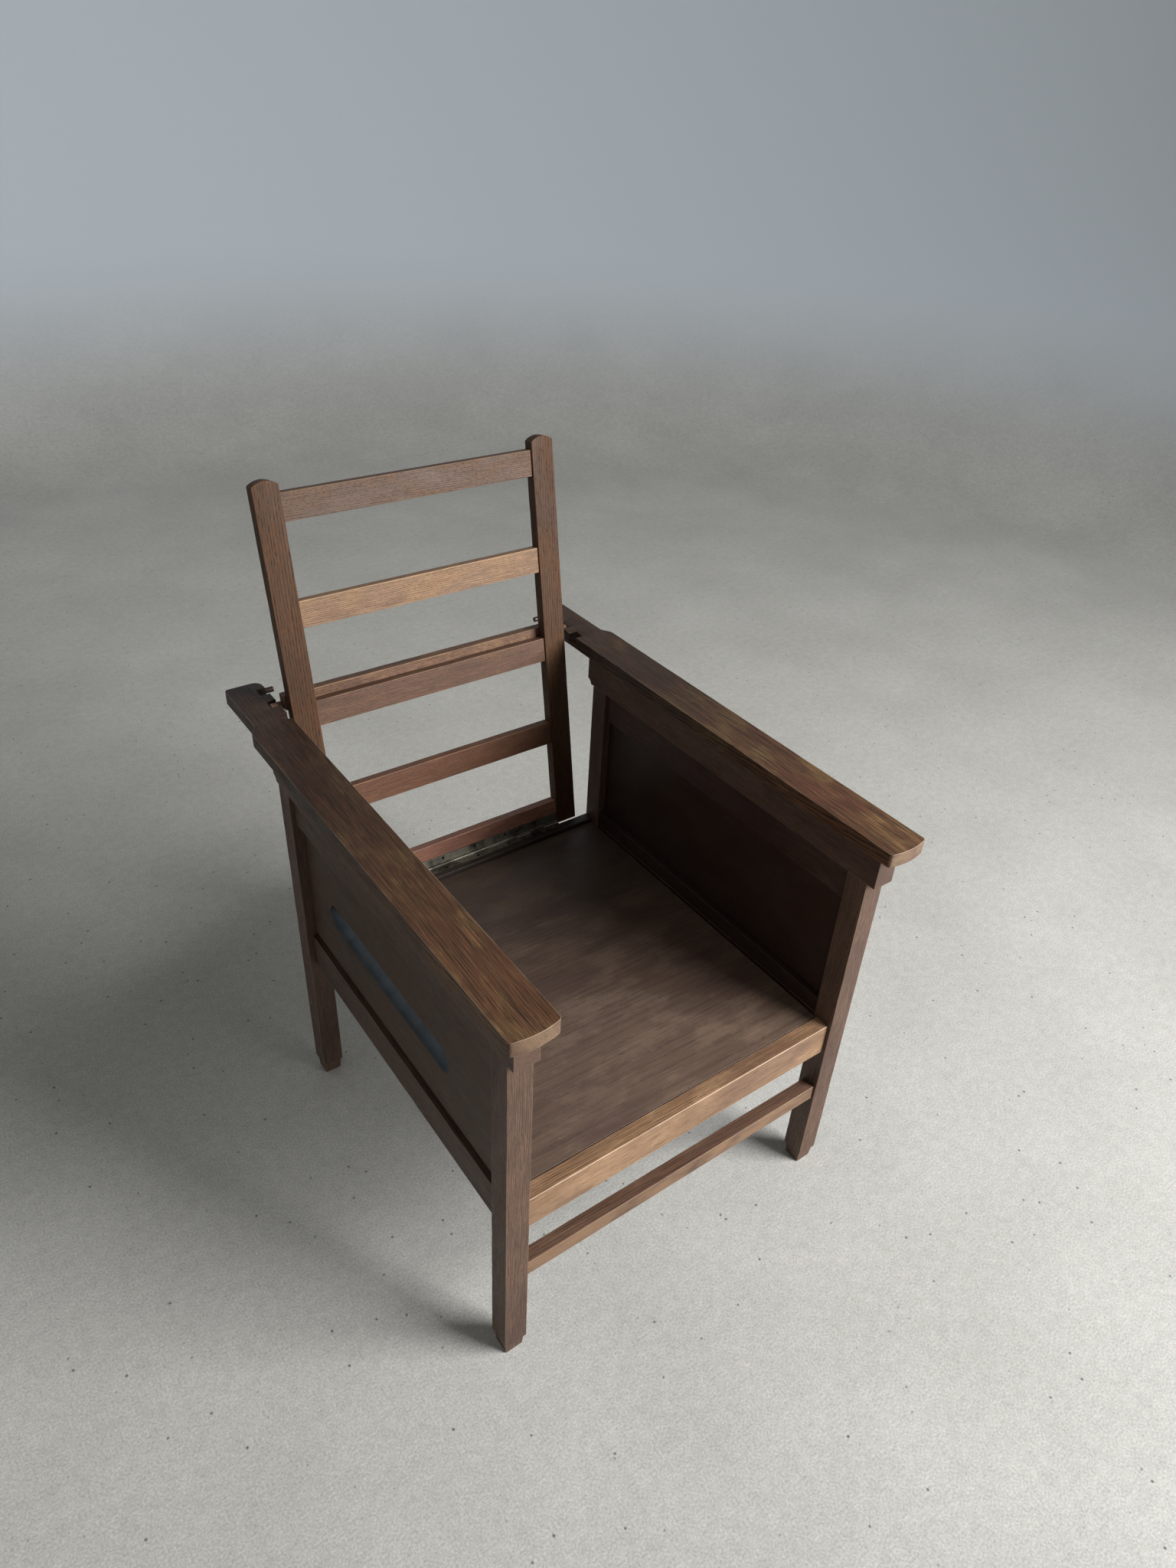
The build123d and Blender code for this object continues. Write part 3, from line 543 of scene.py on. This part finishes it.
# %% Easing and finishing a piece
EDGE = 1.1 * MM
SHARP = math.radians(35)
WEAR_DEPTH = 0.5 * MM
DENTS_PER_METRE = 45
NICKS_PER_METRE = 170
NICK_SHARE = 0.4
FRONT_NORMAL_Y = -0.7


def bevel(bm, edges, radius, segments, clamp=True):
    """Round some edges, and give what that made."""
    return bmesh.ops.bevel(bm, geom=edges, offset=radius, offset_type="OFFSET", segments=segments,
                           profile=0.5, affect="EDGES", material=-1, clamp_overlap=clamp)


def mark_worn(bm, faces):
    """Give the piece its wear attribute, and mark some faces as worn."""
    layer = bm.loops.layers.float.new("worn_edge")
    for face in faces:
        for loop in face.loops:
            loop[layer] = 1.0


def ease(bm, radius, segments=3):
    """Round the sharp edges, mark the rounding as worn, and dent it a little."""
    sharp = [e for e in bm.edges if len(e.link_faces) == 2 and e.calc_face_angle() > SHARP]
    made = bevel(bm, sharp, radius, segments)
    mark_worn(bm, made["faces"])
    bm.normal_update()
    for vert in made["verts"]:
        if vert.is_valid:
            dent = max(0.0, noise.noise(vert.co * DENTS_PER_METRE)
                       + NICK_SHARE * noise.noise(vert.co * NICKS_PER_METRE))
            vert.co -= vert.normal * dent * WEAR_DEPTH


def rub_front(bm, share):
    """Mark the faces that look forwards as partly worn."""
    worn = bm.loops.layers.float["worn_edge"]
    for face in bm.faces:
        if face.normal.y < FRONT_NORMAL_Y:
            for loop in face.loops:
                loop[worn] = max(loop[worn], share)


def finish(bm, name, body, nodes, slot, material):
    """Make the piece an object that rides on a body and stands for CAD nodes."""
    bmesh.ops.recalc_face_normals(bm, faces=bm.faces)
    mesh = bpy.data.meshes.new(name)
    bm.to_mesh(mesh)
    bm.free()
    mesh.shade_smooth()
    mesh.materials.append(material)
    piece = bpy.data.objects.new(name, mesh)
    scene.collection.objects.link(piece)
    shading = piece.modifiers.new("even_shading", "WEIGHTED_NORMAL")
    shading.keep_sharp = True
    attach(piece, body)
    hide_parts(*nodes)


print("most edges are eased by", round(EDGE / MM, 2), "mm")

# %% [markdown]
# ## Side frames
#
# Each leg is a square post whose foot is cut in on all four sides, as if the
# chair once stood in castor cups. The foot starts as an inset of the post's
# bottom face, pulled down and drawn in a little.

# %% Legs
SIDES = ("left", "right")
FOOT_HEIGHT = 24 * MM
FOOT_INSET = 2.5 * MM
FOOT_BOTTOM_SHARE = 28 / 31

for seed, (end, side) in enumerate(((e, s) for e in ("front", "rear") for s in SIDES),
                                   FIRST_SEED["leg"]):
    node = f"leg_{end}_{side}"
    low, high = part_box(node)
    bm = cube((low.x, low.y, low.z + FOOT_HEIGHT), high)
    bottom = min(bm.faces, key=lambda f: f.calc_center_median().z)
    bmesh.ops.inset_region(bm, faces=[bottom], thickness=FOOT_INSET, use_even_offset=True)
    pulled = bmesh.ops.extrude_face_region(bm, geom=[bottom])["geom"]
    sole = [v for v in pulled if isinstance(v, bmesh.types.BMVert)]
    bmesh.ops.delete(bm, geom=[bottom], context="FACES_ONLY")
    middle = sum((v.co for v in sole), Vector()) / len(sole)
    bmesh.ops.scale(bm, vec=(FOOT_BOTTOM_SHARE, FOOT_BOTTOM_SHARE, 1), verts=sole,
                    space=Matrix.Translation(-middle))
    bmesh.ops.translate(bm, vec=(0, 0, -FOOT_HEIGHT), verts=sole)
    cut_across(bm, 2)
    ease(bm, EDGE)
    finish(bm, f"{node}_post", "chair_frame", [node], "oak_frame",
           oak(node, "frame", (0, 0, 1), seed))
print("four legs with cut-in feet")

# %% [markdown]
# The rail under each arm is as wide as the legs and runs past both of them.
# Its rear end has a small cove, a quarter round cut into the lower corner,
# so its outline is drawn from the side and pushed through. The rails below it
# and the bead stop against the legs: their tenons are inside and need no
# shape here. The right side's rails, bead and panel are drawn darker by their
# tones. This is painted shade, because their inner faces lie in shade.

# %% Rails of the side frames
COVE = 9 * MM
COVE_STEPS = 6
# The right side's tones are painted shade. The left rails' tone is the wood's own.
SIDE_RAIL_TONES_RIGHT_SHADED = ((0.8, 0.78, 0.76), (0.5, 0.42, 0.45))
PANEL_TONES_RIGHT_SHADED = (PLAIN, (0.5, 0.46, 0.5))


def side_rail(name, finish_name, seed, low, high, slot, tone):
    """A straight rail along Y with eased long edges."""
    bm = cube(low, high)
    cut_across(bm, 1)
    ease(bm, EDGE)
    finish(bm, f"{name}_board", "chair_frame", [name], slot,
           oak(name, finish_name, (0, 1, 0), seed, tone))


for i, side in enumerate(SIDES):
    node = f"under_arm_rail_{side}"
    low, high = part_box(node)
    outline = [(low.x, low.y, low.z), (low.x, low.y, high.z), (low.x, high.y, high.z)]
    for step in range(COVE_STEPS + 1):
        turn = math.radians(90) * step / COVE_STEPS
        outline.append((low.x, high.y - COVE * math.sin(turn), low.z + COVE * math.cos(turn)))
    bm = prism(outline, (high.x - low.x, 0, 0))
    cut_across(bm, 1)
    ease(bm, EDGE)
    finish(bm, f"{node}_board", "chair_frame", [node], "oak_frame",
           oak(node, "frame", (0, 1, 0), FIRST_SEED["under_arm_rail"] + i))

    front_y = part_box(f"leg_front_{side}")[1].y
    rear_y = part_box(f"leg_rear_{side}")[0].y
    for seed, rail in ((FIRST_SEED["side_rail"] + i, f"upper_side_rail_{side}"),
                       (FIRST_SEED["side_rail"] + i + 2, f"lower_side_rail_{side}")):
        low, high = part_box(rail)
        side_rail(rail, "frame", seed, (low.x, front_y, low.z), (high.x, rear_y, high.z),
                  "oak_frame", SIDE_RAIL_TONES_RIGHT_SHADED[i])
    bead = f"panel_bead_{side}"
    side_rail(bead, "panel", FIRST_SEED["bead"] + i, *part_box(bead), "oak_inner", PANEL_TONES_RIGHT_SHADED[i])
print("rails and beads of both sides")

# %% [markdown]
# ## Side panels
#
# The panels are thin oak-faced boards held in grooves, so only their faces
# show, and their edges stop inside the legs and the upper rail. The left one
# has the long round-ended slot: its outline is cut by a boolean against a
# slot-shaped prism, because that leaves clean walls that the pocket can line.

# %% Cutting, and the slot's outline
SLOT_STEPS = 16
FLANGE = 6 * MM
CUT_OVERRUN = 1 * MM


def carve(bm, cutter):
    """Cut one closed shape out of another with the exact solver."""
    pair = []
    for shape in (bm, cutter):
        mesh = bpy.data.meshes.new("carving")
        shape.to_mesh(mesh)
        shape.free()
        pair.append(bpy.data.objects.new("carving", mesh))
        scene.collection.objects.link(pair[-1])
    cut = pair[0].modifiers.new("cut", "BOOLEAN")
    cut.object, cut.operation, cut.solver = pair[1], "DIFFERENCE", "EXACT"
    bpy.context.view_layer.update()
    carved = bpy.data.meshes.new_from_object(
        pair[0].evaluated_get(bpy.context.evaluated_depsgraph_get()))
    for shape in pair:
        bpy.data.objects.remove(shape)
    result = bmesh.new()
    result.from_mesh(carved)
    return result


def half_turn(centre, radius, start):
    """Points of a half circle in a plane, from a start angle in degrees."""
    angles = [math.radians(start + 180 * i / SLOT_STEPS) for i in range(SLOT_STEPS + 1)]
    return [(centre[0] + radius * math.cos(a), centre[1] + radius * math.sin(a)) for a in angles]


pocket_low, pocket_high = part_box("side_pocket")
slot_radius = (pocket_high.z - pocket_low.z) / 2 - FLANGE
slot_z = (pocket_high.z + pocket_low.z) / 2
slot_ends = ((pocket_high.y - FLANGE - slot_radius, slot_z),
             (pocket_low.y + FLANGE + slot_radius, slot_z))


def slot_ring(radius):
    """The outline, as Y and Z, of the slot or of a ring round it or inside it."""
    return half_turn(slot_ends[0], radius, -90) + half_turn(slot_ends[1], radius, 90)


print("the slot is", round(2 * slot_radius / MM, 1), "mm high")

# %% [markdown]
# A panel's edges are hidden, so they aren't eased. It still gets the wear
# attribute, empty, because its finish reads it.

# %% Panels
for i, side in enumerate(SIDES):
    node = f"side_panel_{side}"
    low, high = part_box(node)
    bm = cube(low, high)
    if side == "left":
        bm = carve(bm, prism([(low.x - CUT_OVERRUN, y, z) for y, z in slot_ring(slot_radius)],
                             (high.x - low.x + 2 * CUT_OVERRUN, 0, 0)))
    mark_worn(bm, [])
    # The right panel's tone darkens it as painted shade.
    finish(bm, f"{node}_board", "chair_frame", [node], "oak_panel",
           oak(node, "panel", (0, 1, 0), FIRST_SEED["panel"] + i, PANEL_TONES_RIGHT_SHADED[i]))
print("two thin panels, the left one with its slot")

# %% [markdown]
# ## Arms
#
# An arm is one wide board: bowed in front, stepped in behind the rear leg,
# and rounded all round where hands have rubbed it. Its outline is drawn from
# above with sharp corners, and bevels of different sizes round the corners
# first and then the long edges. The three notches are cut last, so that
# their mouths stay crisper than the arm's own edges.

# %% Arms
ARM_EDGE = 2.5 * MM
ARM_EDGE_SEGMENTS = 4
ARM_BOW = 5 * MM
ARM_TONES = ((1.0, 0.96, 0.98), (1.15, 1.15, 1.2))
FRONT_END_WEAR = 0.35
STEP_BEHIND_LEG = 25 * MM
STEP_LENGTH = 24 * MM
STEP_DEPTH = 11 * MM
CORNERS = {"front": 4 * MM, "inner_rear": 14 * MM, "outer_rear": 6 * MM}
CORNER_SEGMENTS = 8
CURVE_STEPS = 12
NOTCHES = 3
NOTCH_DEPTH = 13 * MM
NOTCH_WIDTH = 19 * MM
NOTCH_REACH = 15 * MM
NOTCH_PITCH = 43 * MM
NOTCH_EDGE = 1 * MM
LAST_NOTCH_FROM_END = 34 * MM


def round_upright(bm, near, radius):
    """Round the upright edge that stands nearest to a point of the outline."""
    upright = [e for e in bm.edges if abs(e.verts[0].co.z - e.verts[1].co.z) > MM]
    edge = min(upright, key=lambda e: (e.verts[0].co.xy - Vector(near)).length)
    bevel(bm, [edge], radius, CORNER_SEGMENTS, clamp=False)


def notch_outline(y, top):
    """A notch seen from the side, as Y and Z: a round bottom and an eased mouth."""
    half = NOTCH_WIDTH / 2
    mouth = half + NOTCH_EDGE + CUT_OVERRUN
    return half_turn((y, top - NOTCH_DEPTH + half), half, 180) + [
        (y + half, top - NOTCH_EDGE), (y + mouth, top + CUT_OVERRUN),
        (y - mouth, top + CUT_OVERRUN), (y - half, top - NOTCH_EDGE)]


for i, (side, out) in enumerate(zip(SIDES, (-1, 1))):
    node = f"arm_{side}"
    low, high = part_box(node)
    inner, outer = sorted((low.x, high.x), key=abs)
    leg_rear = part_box(f"leg_rear_{side}")[1].y
    narrow = outer - out * STEP_DEPTH
    corner_y = low.y + ARM_BOW
    outline = []
    for step in range(CURVE_STEPS + 1):
        share = step / CURVE_STEPS
        bow = 4 * share * (1 - share)
        outline.append((inner + (outer - inner) * share, corner_y - ARM_BOW * bow))
    for step in range(CURVE_STEPS + 1):
        share = step / CURVE_STEPS
        outline.append((outer - out * STEP_DEPTH * (1 - math.cos(math.pi * share)) / 2,
                        leg_rear + STEP_BEHIND_LEG + STEP_LENGTH * share))
    outline += [(narrow, high.y), (inner, high.y)]
    bm = prism([(x, y, low.z) for x, y in outline], (0, 0, high.z - low.z))
    round_upright(bm, (inner, high.y), CORNERS["inner_rear"])
    round_upright(bm, (narrow, high.y), CORNERS["outer_rear"])
    round_upright(bm, (inner, corner_y), CORNERS["front"])
    round_upright(bm, (outer, corner_y), CORNERS["front"])
    cut_across(bm, 1)
    ease(bm, ARM_EDGE, ARM_EDGE_SEGMENTS)
    rub_front(bm, FRONT_END_WEAR)
    for notch in range(NOTCHES):
        bite = notch_outline(high.y - LAST_NOTCH_FROM_END - notch * NOTCH_PITCH, high.z)
        bm = carve(bm, prism([(inner - out * CUT_OVERRUN, y, z) for y, z in bite],
                             (out * (NOTCH_REACH + CUT_OVERRUN), 0, 0)))
    finish(bm, f"{node}_board", "chair_frame", [node], "oak_arm",
           oak(node, "arm", (0, 1, 0), FIRST_SEED["arm"] + i, ARM_TONES[i]))
print("two arms with", NOTCHES, "notches each")

# %% [markdown]
# ## Seat
#
# The rails across the chair stop between the legs. The seat board is a thin
# board with its grain across the chair, a little lower than the front rail,
# with a dark gap behind the rail. Four cleats under it carry it.

# %% Cross rails, seat board and cleats
SEAT_EDGE = 0.8 * MM
# Each rail across the chair: its finish, its tone, and how far its front face is rubbed.
CROSS_RAILS = {"front_seat_rail": ("rail", PLAIN, 0.12),
               # The rear seat rail's low tone is painted shade, from the back and the hinge above
               # it.
               "rear_seat_rail": ("seat", (0.35, 0.33, 0.33), 0.0),
               "front_stretcher": ("frame", (1.15, 1.1, 1.0), 0.9)}

leg_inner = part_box("leg_front_right")[0].x
for seed, (node, (kind, tone, rubbed)) in enumerate(CROSS_RAILS.items(), FIRST_SEED["cross_rail"]):
    low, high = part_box(node)
    bm = cube((-leg_inner, low.y, low.z), (leg_inner, high.y, high.z))
    cut_across(bm, 0)
    ease(bm, EDGE)
    rub_front(bm, rubbed)
    finish(bm, f"{node}_board", "chair_frame", [node], "oak_rail",
           oak(node, kind, (1, 0, 0), seed, tone))

bm = cube(*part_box("seat_board"))
ease(bm, SEAT_EDGE)
finish(bm, "seat_board_top", "chair_frame", ["seat_board"], "oak_seat",
       oak("seat_board", "seat", (1, 0, 0), FIRST_SEED["seat"]))
for seed, (place, grain) in enumerate((("front", (1, 0, 0)), ("rear", (1, 0, 0)),
                                       ("left", (0, 1, 0)), ("right", (0, 1, 0))),
                                      FIRST_SEED["cleat"]):
    node = f"seat_cleat_{place}"
    bm = cube(*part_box(node))
    ease(bm, EDGE)
    finish(bm, f"{node}_board", "chair_frame", [node], "oak_inner", oak(node, "frame", grain, seed))
print("three cross rails, the seat board and its cleats")

# %% [markdown]
# ## Back
#
# The back is made standing upright over its hinge, where every board is
# square to the axes, and then leaned about the hinge to its resting slope.
# Its stiles end in a low arch, drawn as an outline from the front. The tones
# of its rails are listed from the lowest to the highest.

# %% Back
STILE_EDGE = 1.5 * MM
ARCH_RISE = 7 * MM
ARCH_STEPS = 14
STILE_TONE = (0.56, 0.36, 0.2)
RAIL_TONES = ((2.1, 1.75, 2.0), (1.12, 0.9, 0.8), (0.88, 0.8, 0.76),
              (1.76, 1.85, 1.72), (0.73, 0.68, 0.62))

up_grain = lean.to_3x3() @ Vector((0, 0, 1))
for seed, side in enumerate(SIDES, FIRST_SEED["stile"]):
    node = f"back_stile_{side}"
    low, high = upright_box(node)
    shoulder = high.z - ARCH_RISE
    outline = [(low.x, low.y, low.z), (high.x, low.y, low.z)]
    for i in range(ARCH_STEPS + 1):
        share = i / ARCH_STEPS
        outline.append((high.x + (low.x - high.x) * share, low.y,
                        shoulder + ARCH_RISE * 4 * share * (1 - share)))
    bm = prism(outline, (0, high.y - low.y, 0))
    cut_across(bm, 2)
    ease(bm, STILE_EDGE)
    finish(leaned(bm), f"{node}_board", "back", [node], "oak_back",
           oak(node, "stile", up_grain, seed, STILE_TONE))

stile_inner = upright_box("back_stile_right")[0].x
for i, tone in enumerate(RAIL_TONES):
    node = f"back_rail_{i + 1}"
    low, high = upright_box(node)
    bm = cube((-stile_inner, low.y, low.z), (stile_inner, high.y, high.z))
    cut_across(bm, 0)
    ease(bm, EDGE)
    finish(leaned(bm), f"{node}_board", "back", [node], "oak_back",
           oak(node, "back", (1, 0, 0), FIRST_SEED["back_rail"] + i, tone))
print("the back: two stiles and", len(RAIL_TONES), "rails")

# %% [markdown]
# ## Support bar, pins and pegs
#
# The bar lies loose behind the stiles. Turned pins in its ends lie in the
# arms' notches, and a peg sticks out behind the last notch of each arm so
# that the bar can't slip off. Pins and pegs start as cylinders with rounded
# ends.

# %% Bar and round pieces
ROUND_STEPS = 28
ROD_END_SHARE = 0.25
ROD_END_SEGMENTS = 4


def turned(low, high):
    """A turned rod along X that fills a box, with rounded ends."""
    bm = bmesh.new()
    radius = (high.z - low.z) / 2
    along_x = Vector((1, 0, 0)).to_track_quat("Z", "Y").to_matrix().to_4x4()
    place = Matrix.Translation((low + high) / 2) @ along_x
    bmesh.ops.create_cone(bm, cap_ends=True, segments=ROUND_STEPS, radius1=radius, radius2=radius,
                          depth=high.x - low.x, matrix=place)
    rims = [e for e in bm.edges if e.calc_face_angle() > SHARP]
    made = bevel(bm, rims, ROD_END_SHARE * radius, ROD_END_SEGMENTS)
    mark_worn(bm, made["faces"])
    return bm


bm = cube(*upright_box("support_bar"))
cut_across(bm, 0)
ease(bm, EDGE)
finish(leaned(bm), "support_bar_board", "bar", ["support_bar"], "oak_bar",
       oak("support_bar", "bar", (1, 0, 0), FIRST_SEED["bar"]))
for seed, side in enumerate(SIDES, FIRST_SEED["rod"]):
    for node, body, slot, kind in ((f"bar_pin_{side}", "bar", "oak_bar", "bar"),
                                   (f"stop_peg_{side}", "chair_frame", "oak_arm", "arm")):
        finish(turned(*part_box(node)), f"{node}_rod", body, [node], slot,
               oak(node, kind, (1, 0, 0), seed))
print("the bar, its two pins and two stop pegs")

# %% [markdown]
# ## Metal
#
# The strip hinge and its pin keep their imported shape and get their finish
# here. So do the cleats' screws and the dowels, which can't be seen.

# %% Metal finishes
METAL_SWING = 0.22
METAL_RELIEF = 0.05 * MM


def metal(name, colour, stain, roughness, metallic, grit_size):
    """A metal or a painted metal with clouds of tarnish and a fine grit."""
    material, tree, shader = new_material(name, Metallic=metallic)
    place = add(tree, "ShaderNodeTexCoord", {}).outputs["Object"]
    clouds = add(tree, "ShaderNodeTexNoise", {"Scale": 28.0, "Detail": 4.0, "Roughness": 0.65},
                 {"Vector": place}).outputs["Fac"]
    grit = add(tree, "ShaderNodeTexNoise", {"Scale": 1 / grit_size, "Detail": 2.0},
               {"Vector": place}).outputs["Fac"]
    stained = add(tree, "ShaderNodeMapRange",
                  {"interpolation_type": "SMOOTHSTEP", "From Min": 0.40, "From Max": 0.66},
                  {"Value": clouds}).outputs["Result"]
    tint = add(tree, "ShaderNodeMix", {"data_type": "RGBA", 6: linear(colour), 7: linear(stain)},
               {0: stained}).outputs[2]
    tree.links.new(tint, shader.inputs["Base Color"])
    dull = add(tree, "ShaderNodeMath",
               {"operation": "MULTIPLY_ADD", 1: METAL_SWING, 2: roughness - 0.08},
               {0: clouds}).outputs["Value"]
    tree.links.new(dull, shader.inputs["Roughness"])
    relief = add(tree, "ShaderNodeBump", {"Strength": 0.25, "Distance": METAL_RELIEF},
                 {"Height": grit}).outputs["Normal"]
    tree.links.new(relief, shader.inputs["Normal"])
    return material


# The hinge is plain rolled steel, dulled to a greenish grey.
hinge_steel = metal("dulled_rolled_steel", "8a8478", "45413a", 0.42, 0.85, 0.4 * MM)
# The screws are steel that was blacked once, with rubbed heads.
screw_steel = metal("blacked_screw_steel", "4a4740", "2a2824", 0.45, 1.0, 0.3 * MM)
# The pocket is sheet steel with blue-grey paint.
pocket_paint = metal("blue_grey_painted_steel", "525a60", "464d52", 0.58, 0.0, 0.6 * MM)
# The dowels are the frame's own oak.
hidden_oak = oak("leg_dowels", "frame", (0, 0, 1), FIRST_SEED["dowel"])
for node, material in (("hinge_lower_leaf", hinge_steel), ("hinge_upper_leaf", hinge_steel),
                       ("hinge_pin", hinge_steel), ("cleat_screws", screw_steel),
                       ("leg_dowels", hidden_oak), ("arm_dowels", hidden_oak)):
    mesh = frame["nodes"][node].data
    mesh.materials.clear()
    mesh.materials.append(material)
print("finishes on the packed hinge and the hidden fixings")

# %% [markdown]
# ## Pocket
#
# The pocket behind the slot is a long dish pressed from sheet metal. It starts
# as the slot's own outline, which is inset and pushed in again and again along
# a quarter circle, so its walls curve into its floor and its lower side turns
# up to the light. A thin flange behind the panel holds it.

# %% Dish and flange
DISH_STEPS = 9
DISH_TURN = math.radians(86)
DISH_WALL = 0.8 * MM
DISH_CLEARANCE = 0.3 * MM
FLANGE_WALL = 1.2 * MM

low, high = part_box("side_pocket")
dish_radius = slot_radius - DISH_CLEARANCE
dish_depth = high.x - low.x - DISH_WALL
bm = bmesh.new()
face = bm.faces.new([bm.verts.new((low.x, y, z)) for y, z in slot_ring(dish_radius)])
bm.normal_update()
inward = 1 if face.normal.x > 0 else -1
for i in range(DISH_STEPS):
    start, end = DISH_TURN * i / DISH_STEPS, DISH_TURN * (i + 1) / DISH_STEPS
    bmesh.ops.inset_region(bm, faces=[face], use_boundary=True, use_even_offset=True,
                           thickness=dish_radius * (math.cos(start) - math.cos(end)),
                           depth=inward * dish_depth * (math.sin(end) - math.sin(start)))
bmesh.ops.solidify(bm, geom=bm.faces[:], thickness=-inward * DISH_WALL)

plate_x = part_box("side_panel_left")[1].x
radius_there = dish_radius * math.cos(math.asin((plate_x - low.x) / dish_depth))
plate = prism([(plate_x, y, z) for y, z in slot_ring(slot_radius + FLANGE)],
              (FLANGE_WALL, 0, 0))
hole = prism([(plate_x - CUT_OVERRUN, y, z) for y, z in slot_ring(radius_there + DISH_WALL / 4)],
             (FLANGE_WALL + 2 * CUT_OVERRUN, 0, 0))
plate = carve(plate, hole)
mesh = bpy.data.meshes.new("flange")
plate.to_mesh(mesh)
plate.free()
bm.from_mesh(mesh)
print("a dished pocket", round(dish_depth / MM, 1), "mm deep")

# %% [markdown]
# The dish's upper side is painted darker, a painted shade under the slot's
# upper edge, and its lower side keeps the blue-grey paint. The change is
# centred on the slot's middle.

# %% Painted shade in the pocket
SHADE_REACH = 0.6
# The near-black of the painted shade at the top of the dish.
PAINTED_SHADE_COLOUR = linear("14171a")

tree = pocket_paint.node_tree
shader = tree.nodes["Principled BSDF"]
unshaded = shader.inputs["Base Color"].links[0].from_socket
place = add(tree, "ShaderNodeTexCoord", {}).outputs["Object"]
height = add(tree, "ShaderNodeSeparateXYZ", {}, {0: place}).outputs["Z"]
# Painted shade: the paint turns near-black towards the top of the slot.
upper_shade = add(tree, "ShaderNodeMapRange",
            {"interpolation_type": "SMOOTHSTEP", "From Min": slot_z - SHADE_REACH * slot_radius,
             "From Max": slot_z + SHADE_REACH * slot_radius}, {"Value": height}).outputs["Result"]
paint = add(tree, "ShaderNodeMix", {"data_type": "RGBA", 7: PAINTED_SHADE_COLOUR},
            {0: upper_shade, 6: unshaded}).outputs[2]
tree.links.new(paint, shader.inputs["Base Color"])
finish(bm, "side_pocket_dish", "chair_frame", ["side_pocket"], "pocket_metal", pocket_paint)
print("the pocket's paint is dusty below", round(slot_z, 3), "m")

# %% [markdown]
# ## Screws
#
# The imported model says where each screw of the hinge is. New screws with
# slightly domed and slotted heads take their places, and each slot is turned
# its own way.

# %% Screws with slotted heads
SCREW_COUNT = 6
SCREW_LENGTH = 12 * MM
SHANK_RADIUS = 1.5 * MM
HEAD_RADIUS = 3.1 * MM
HEAD_HEIGHT = 1.2 * MM
HEAD_PROUD = 0.25 * MM
DOME_SHARE = 0.82
SLOT_WIDTH = 0.8 * MM
SLOT_DEPTH = 0.5 * MM
FIRST_TURN = 0.7
TURN_PER_SCREW = 1.9
PACKED_HEAD_RADIUS = 3.2 * MM
NEAR_SCREW = 4 * MM
FLAT_WITHIN = 0.01 * MM


def slotted_screw(turn):
    """A screw that points down, its head's top just above the origin."""
    bm = bmesh.new()
    bmesh.ops.create_cone(bm, cap_ends=True, segments=ROUND_STEPS, radius1=SHANK_RADIUS,
                          radius2=HEAD_RADIUS, depth=HEAD_HEIGHT,
                          matrix=Matrix.Translation((0, 0, -HEAD_HEIGHT / 2)))
    top = max(bm.faces, key=lambda f: f.calc_center_median().z)
    dome = bmesh.ops.extrude_discrete_faces(bm, faces=[top])["faces"][0]
    bmesh.ops.translate(bm, vec=(0, 0, HEAD_PROUD), verts=dome.verts)
    bmesh.ops.scale(bm, vec=(DOME_SHARE, DOME_SHARE, 1), verts=dome.verts)
    tip = min(bm.faces, key=lambda f: f.calc_center_median().z)
    shank = bmesh.ops.extrude_discrete_faces(bm, faces=[tip])["faces"][0]
    bmesh.ops.translate(bm, vec=(0, 0, -SCREW_LENGTH + HEAD_HEIGHT), verts=shank.verts)
    cutter = cube((-2 * HEAD_RADIUS, -SLOT_WIDTH / 2, HEAD_PROUD - SLOT_DEPTH),
                  (2 * HEAD_RADIUS, SLOT_WIDTH / 2, HEAD_PROUD + CUT_OVERRUN))
    bmesh.ops.rotate(cutter, matrix=Matrix.Rotation(turn, 3, "Z"), verts=cutter.verts)
    return carve(bm, cutter)


def screw_row(node, body, facing):
    """The screws of one leaf: facing turns a screw from pointing down."""
    points = [v.co for v in frame["nodes"][node].data.vertices]
    low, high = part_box(node)
    outward = facing @ Vector((0, 0, 1))
    reach = high.x - low.x - 2 * PACKED_HEAD_RADIUS
    row = bmesh.new()
    for i in range(SCREW_COUNT):
        x = low.x + PACKED_HEAD_RADIUS + reach * i / (SCREW_COUNT - 1)
        packed = [p for p in points if abs(p.x - x) < NEAR_SCREW]
        face = max(p.dot(outward) for p in packed)
        rim = [p for p in packed if p.dot(outward) > face - FLAT_WITHIN]
        centre = sum(rim, Vector()) / len(rim)
        screw = slotted_screw(FIRST_TURN + TURN_PER_SCREW * i)
        place = Matrix.Translation((x, centre.y, centre.z)) @ facing.to_4x4()
        bmesh.ops.transform(screw, matrix=place, verts=screw.verts)
        mesh = bpy.data.meshes.new("one_screw")
        screw.to_mesh(mesh)
        screw.free()
        row.from_mesh(mesh)
    finish(row, f"{node}_slotted", body, [node], "screw_steel", screw_steel)


screw_row("hinge_screws_lower", "chair_frame", Matrix.Identity(3))
screw_row("hinge_screws_upper", "back",
          lean.to_3x3() @ Matrix.Rotation(math.radians(90), 3, "X"))
print("two rows of", SCREW_COUNT, "slotted screws")
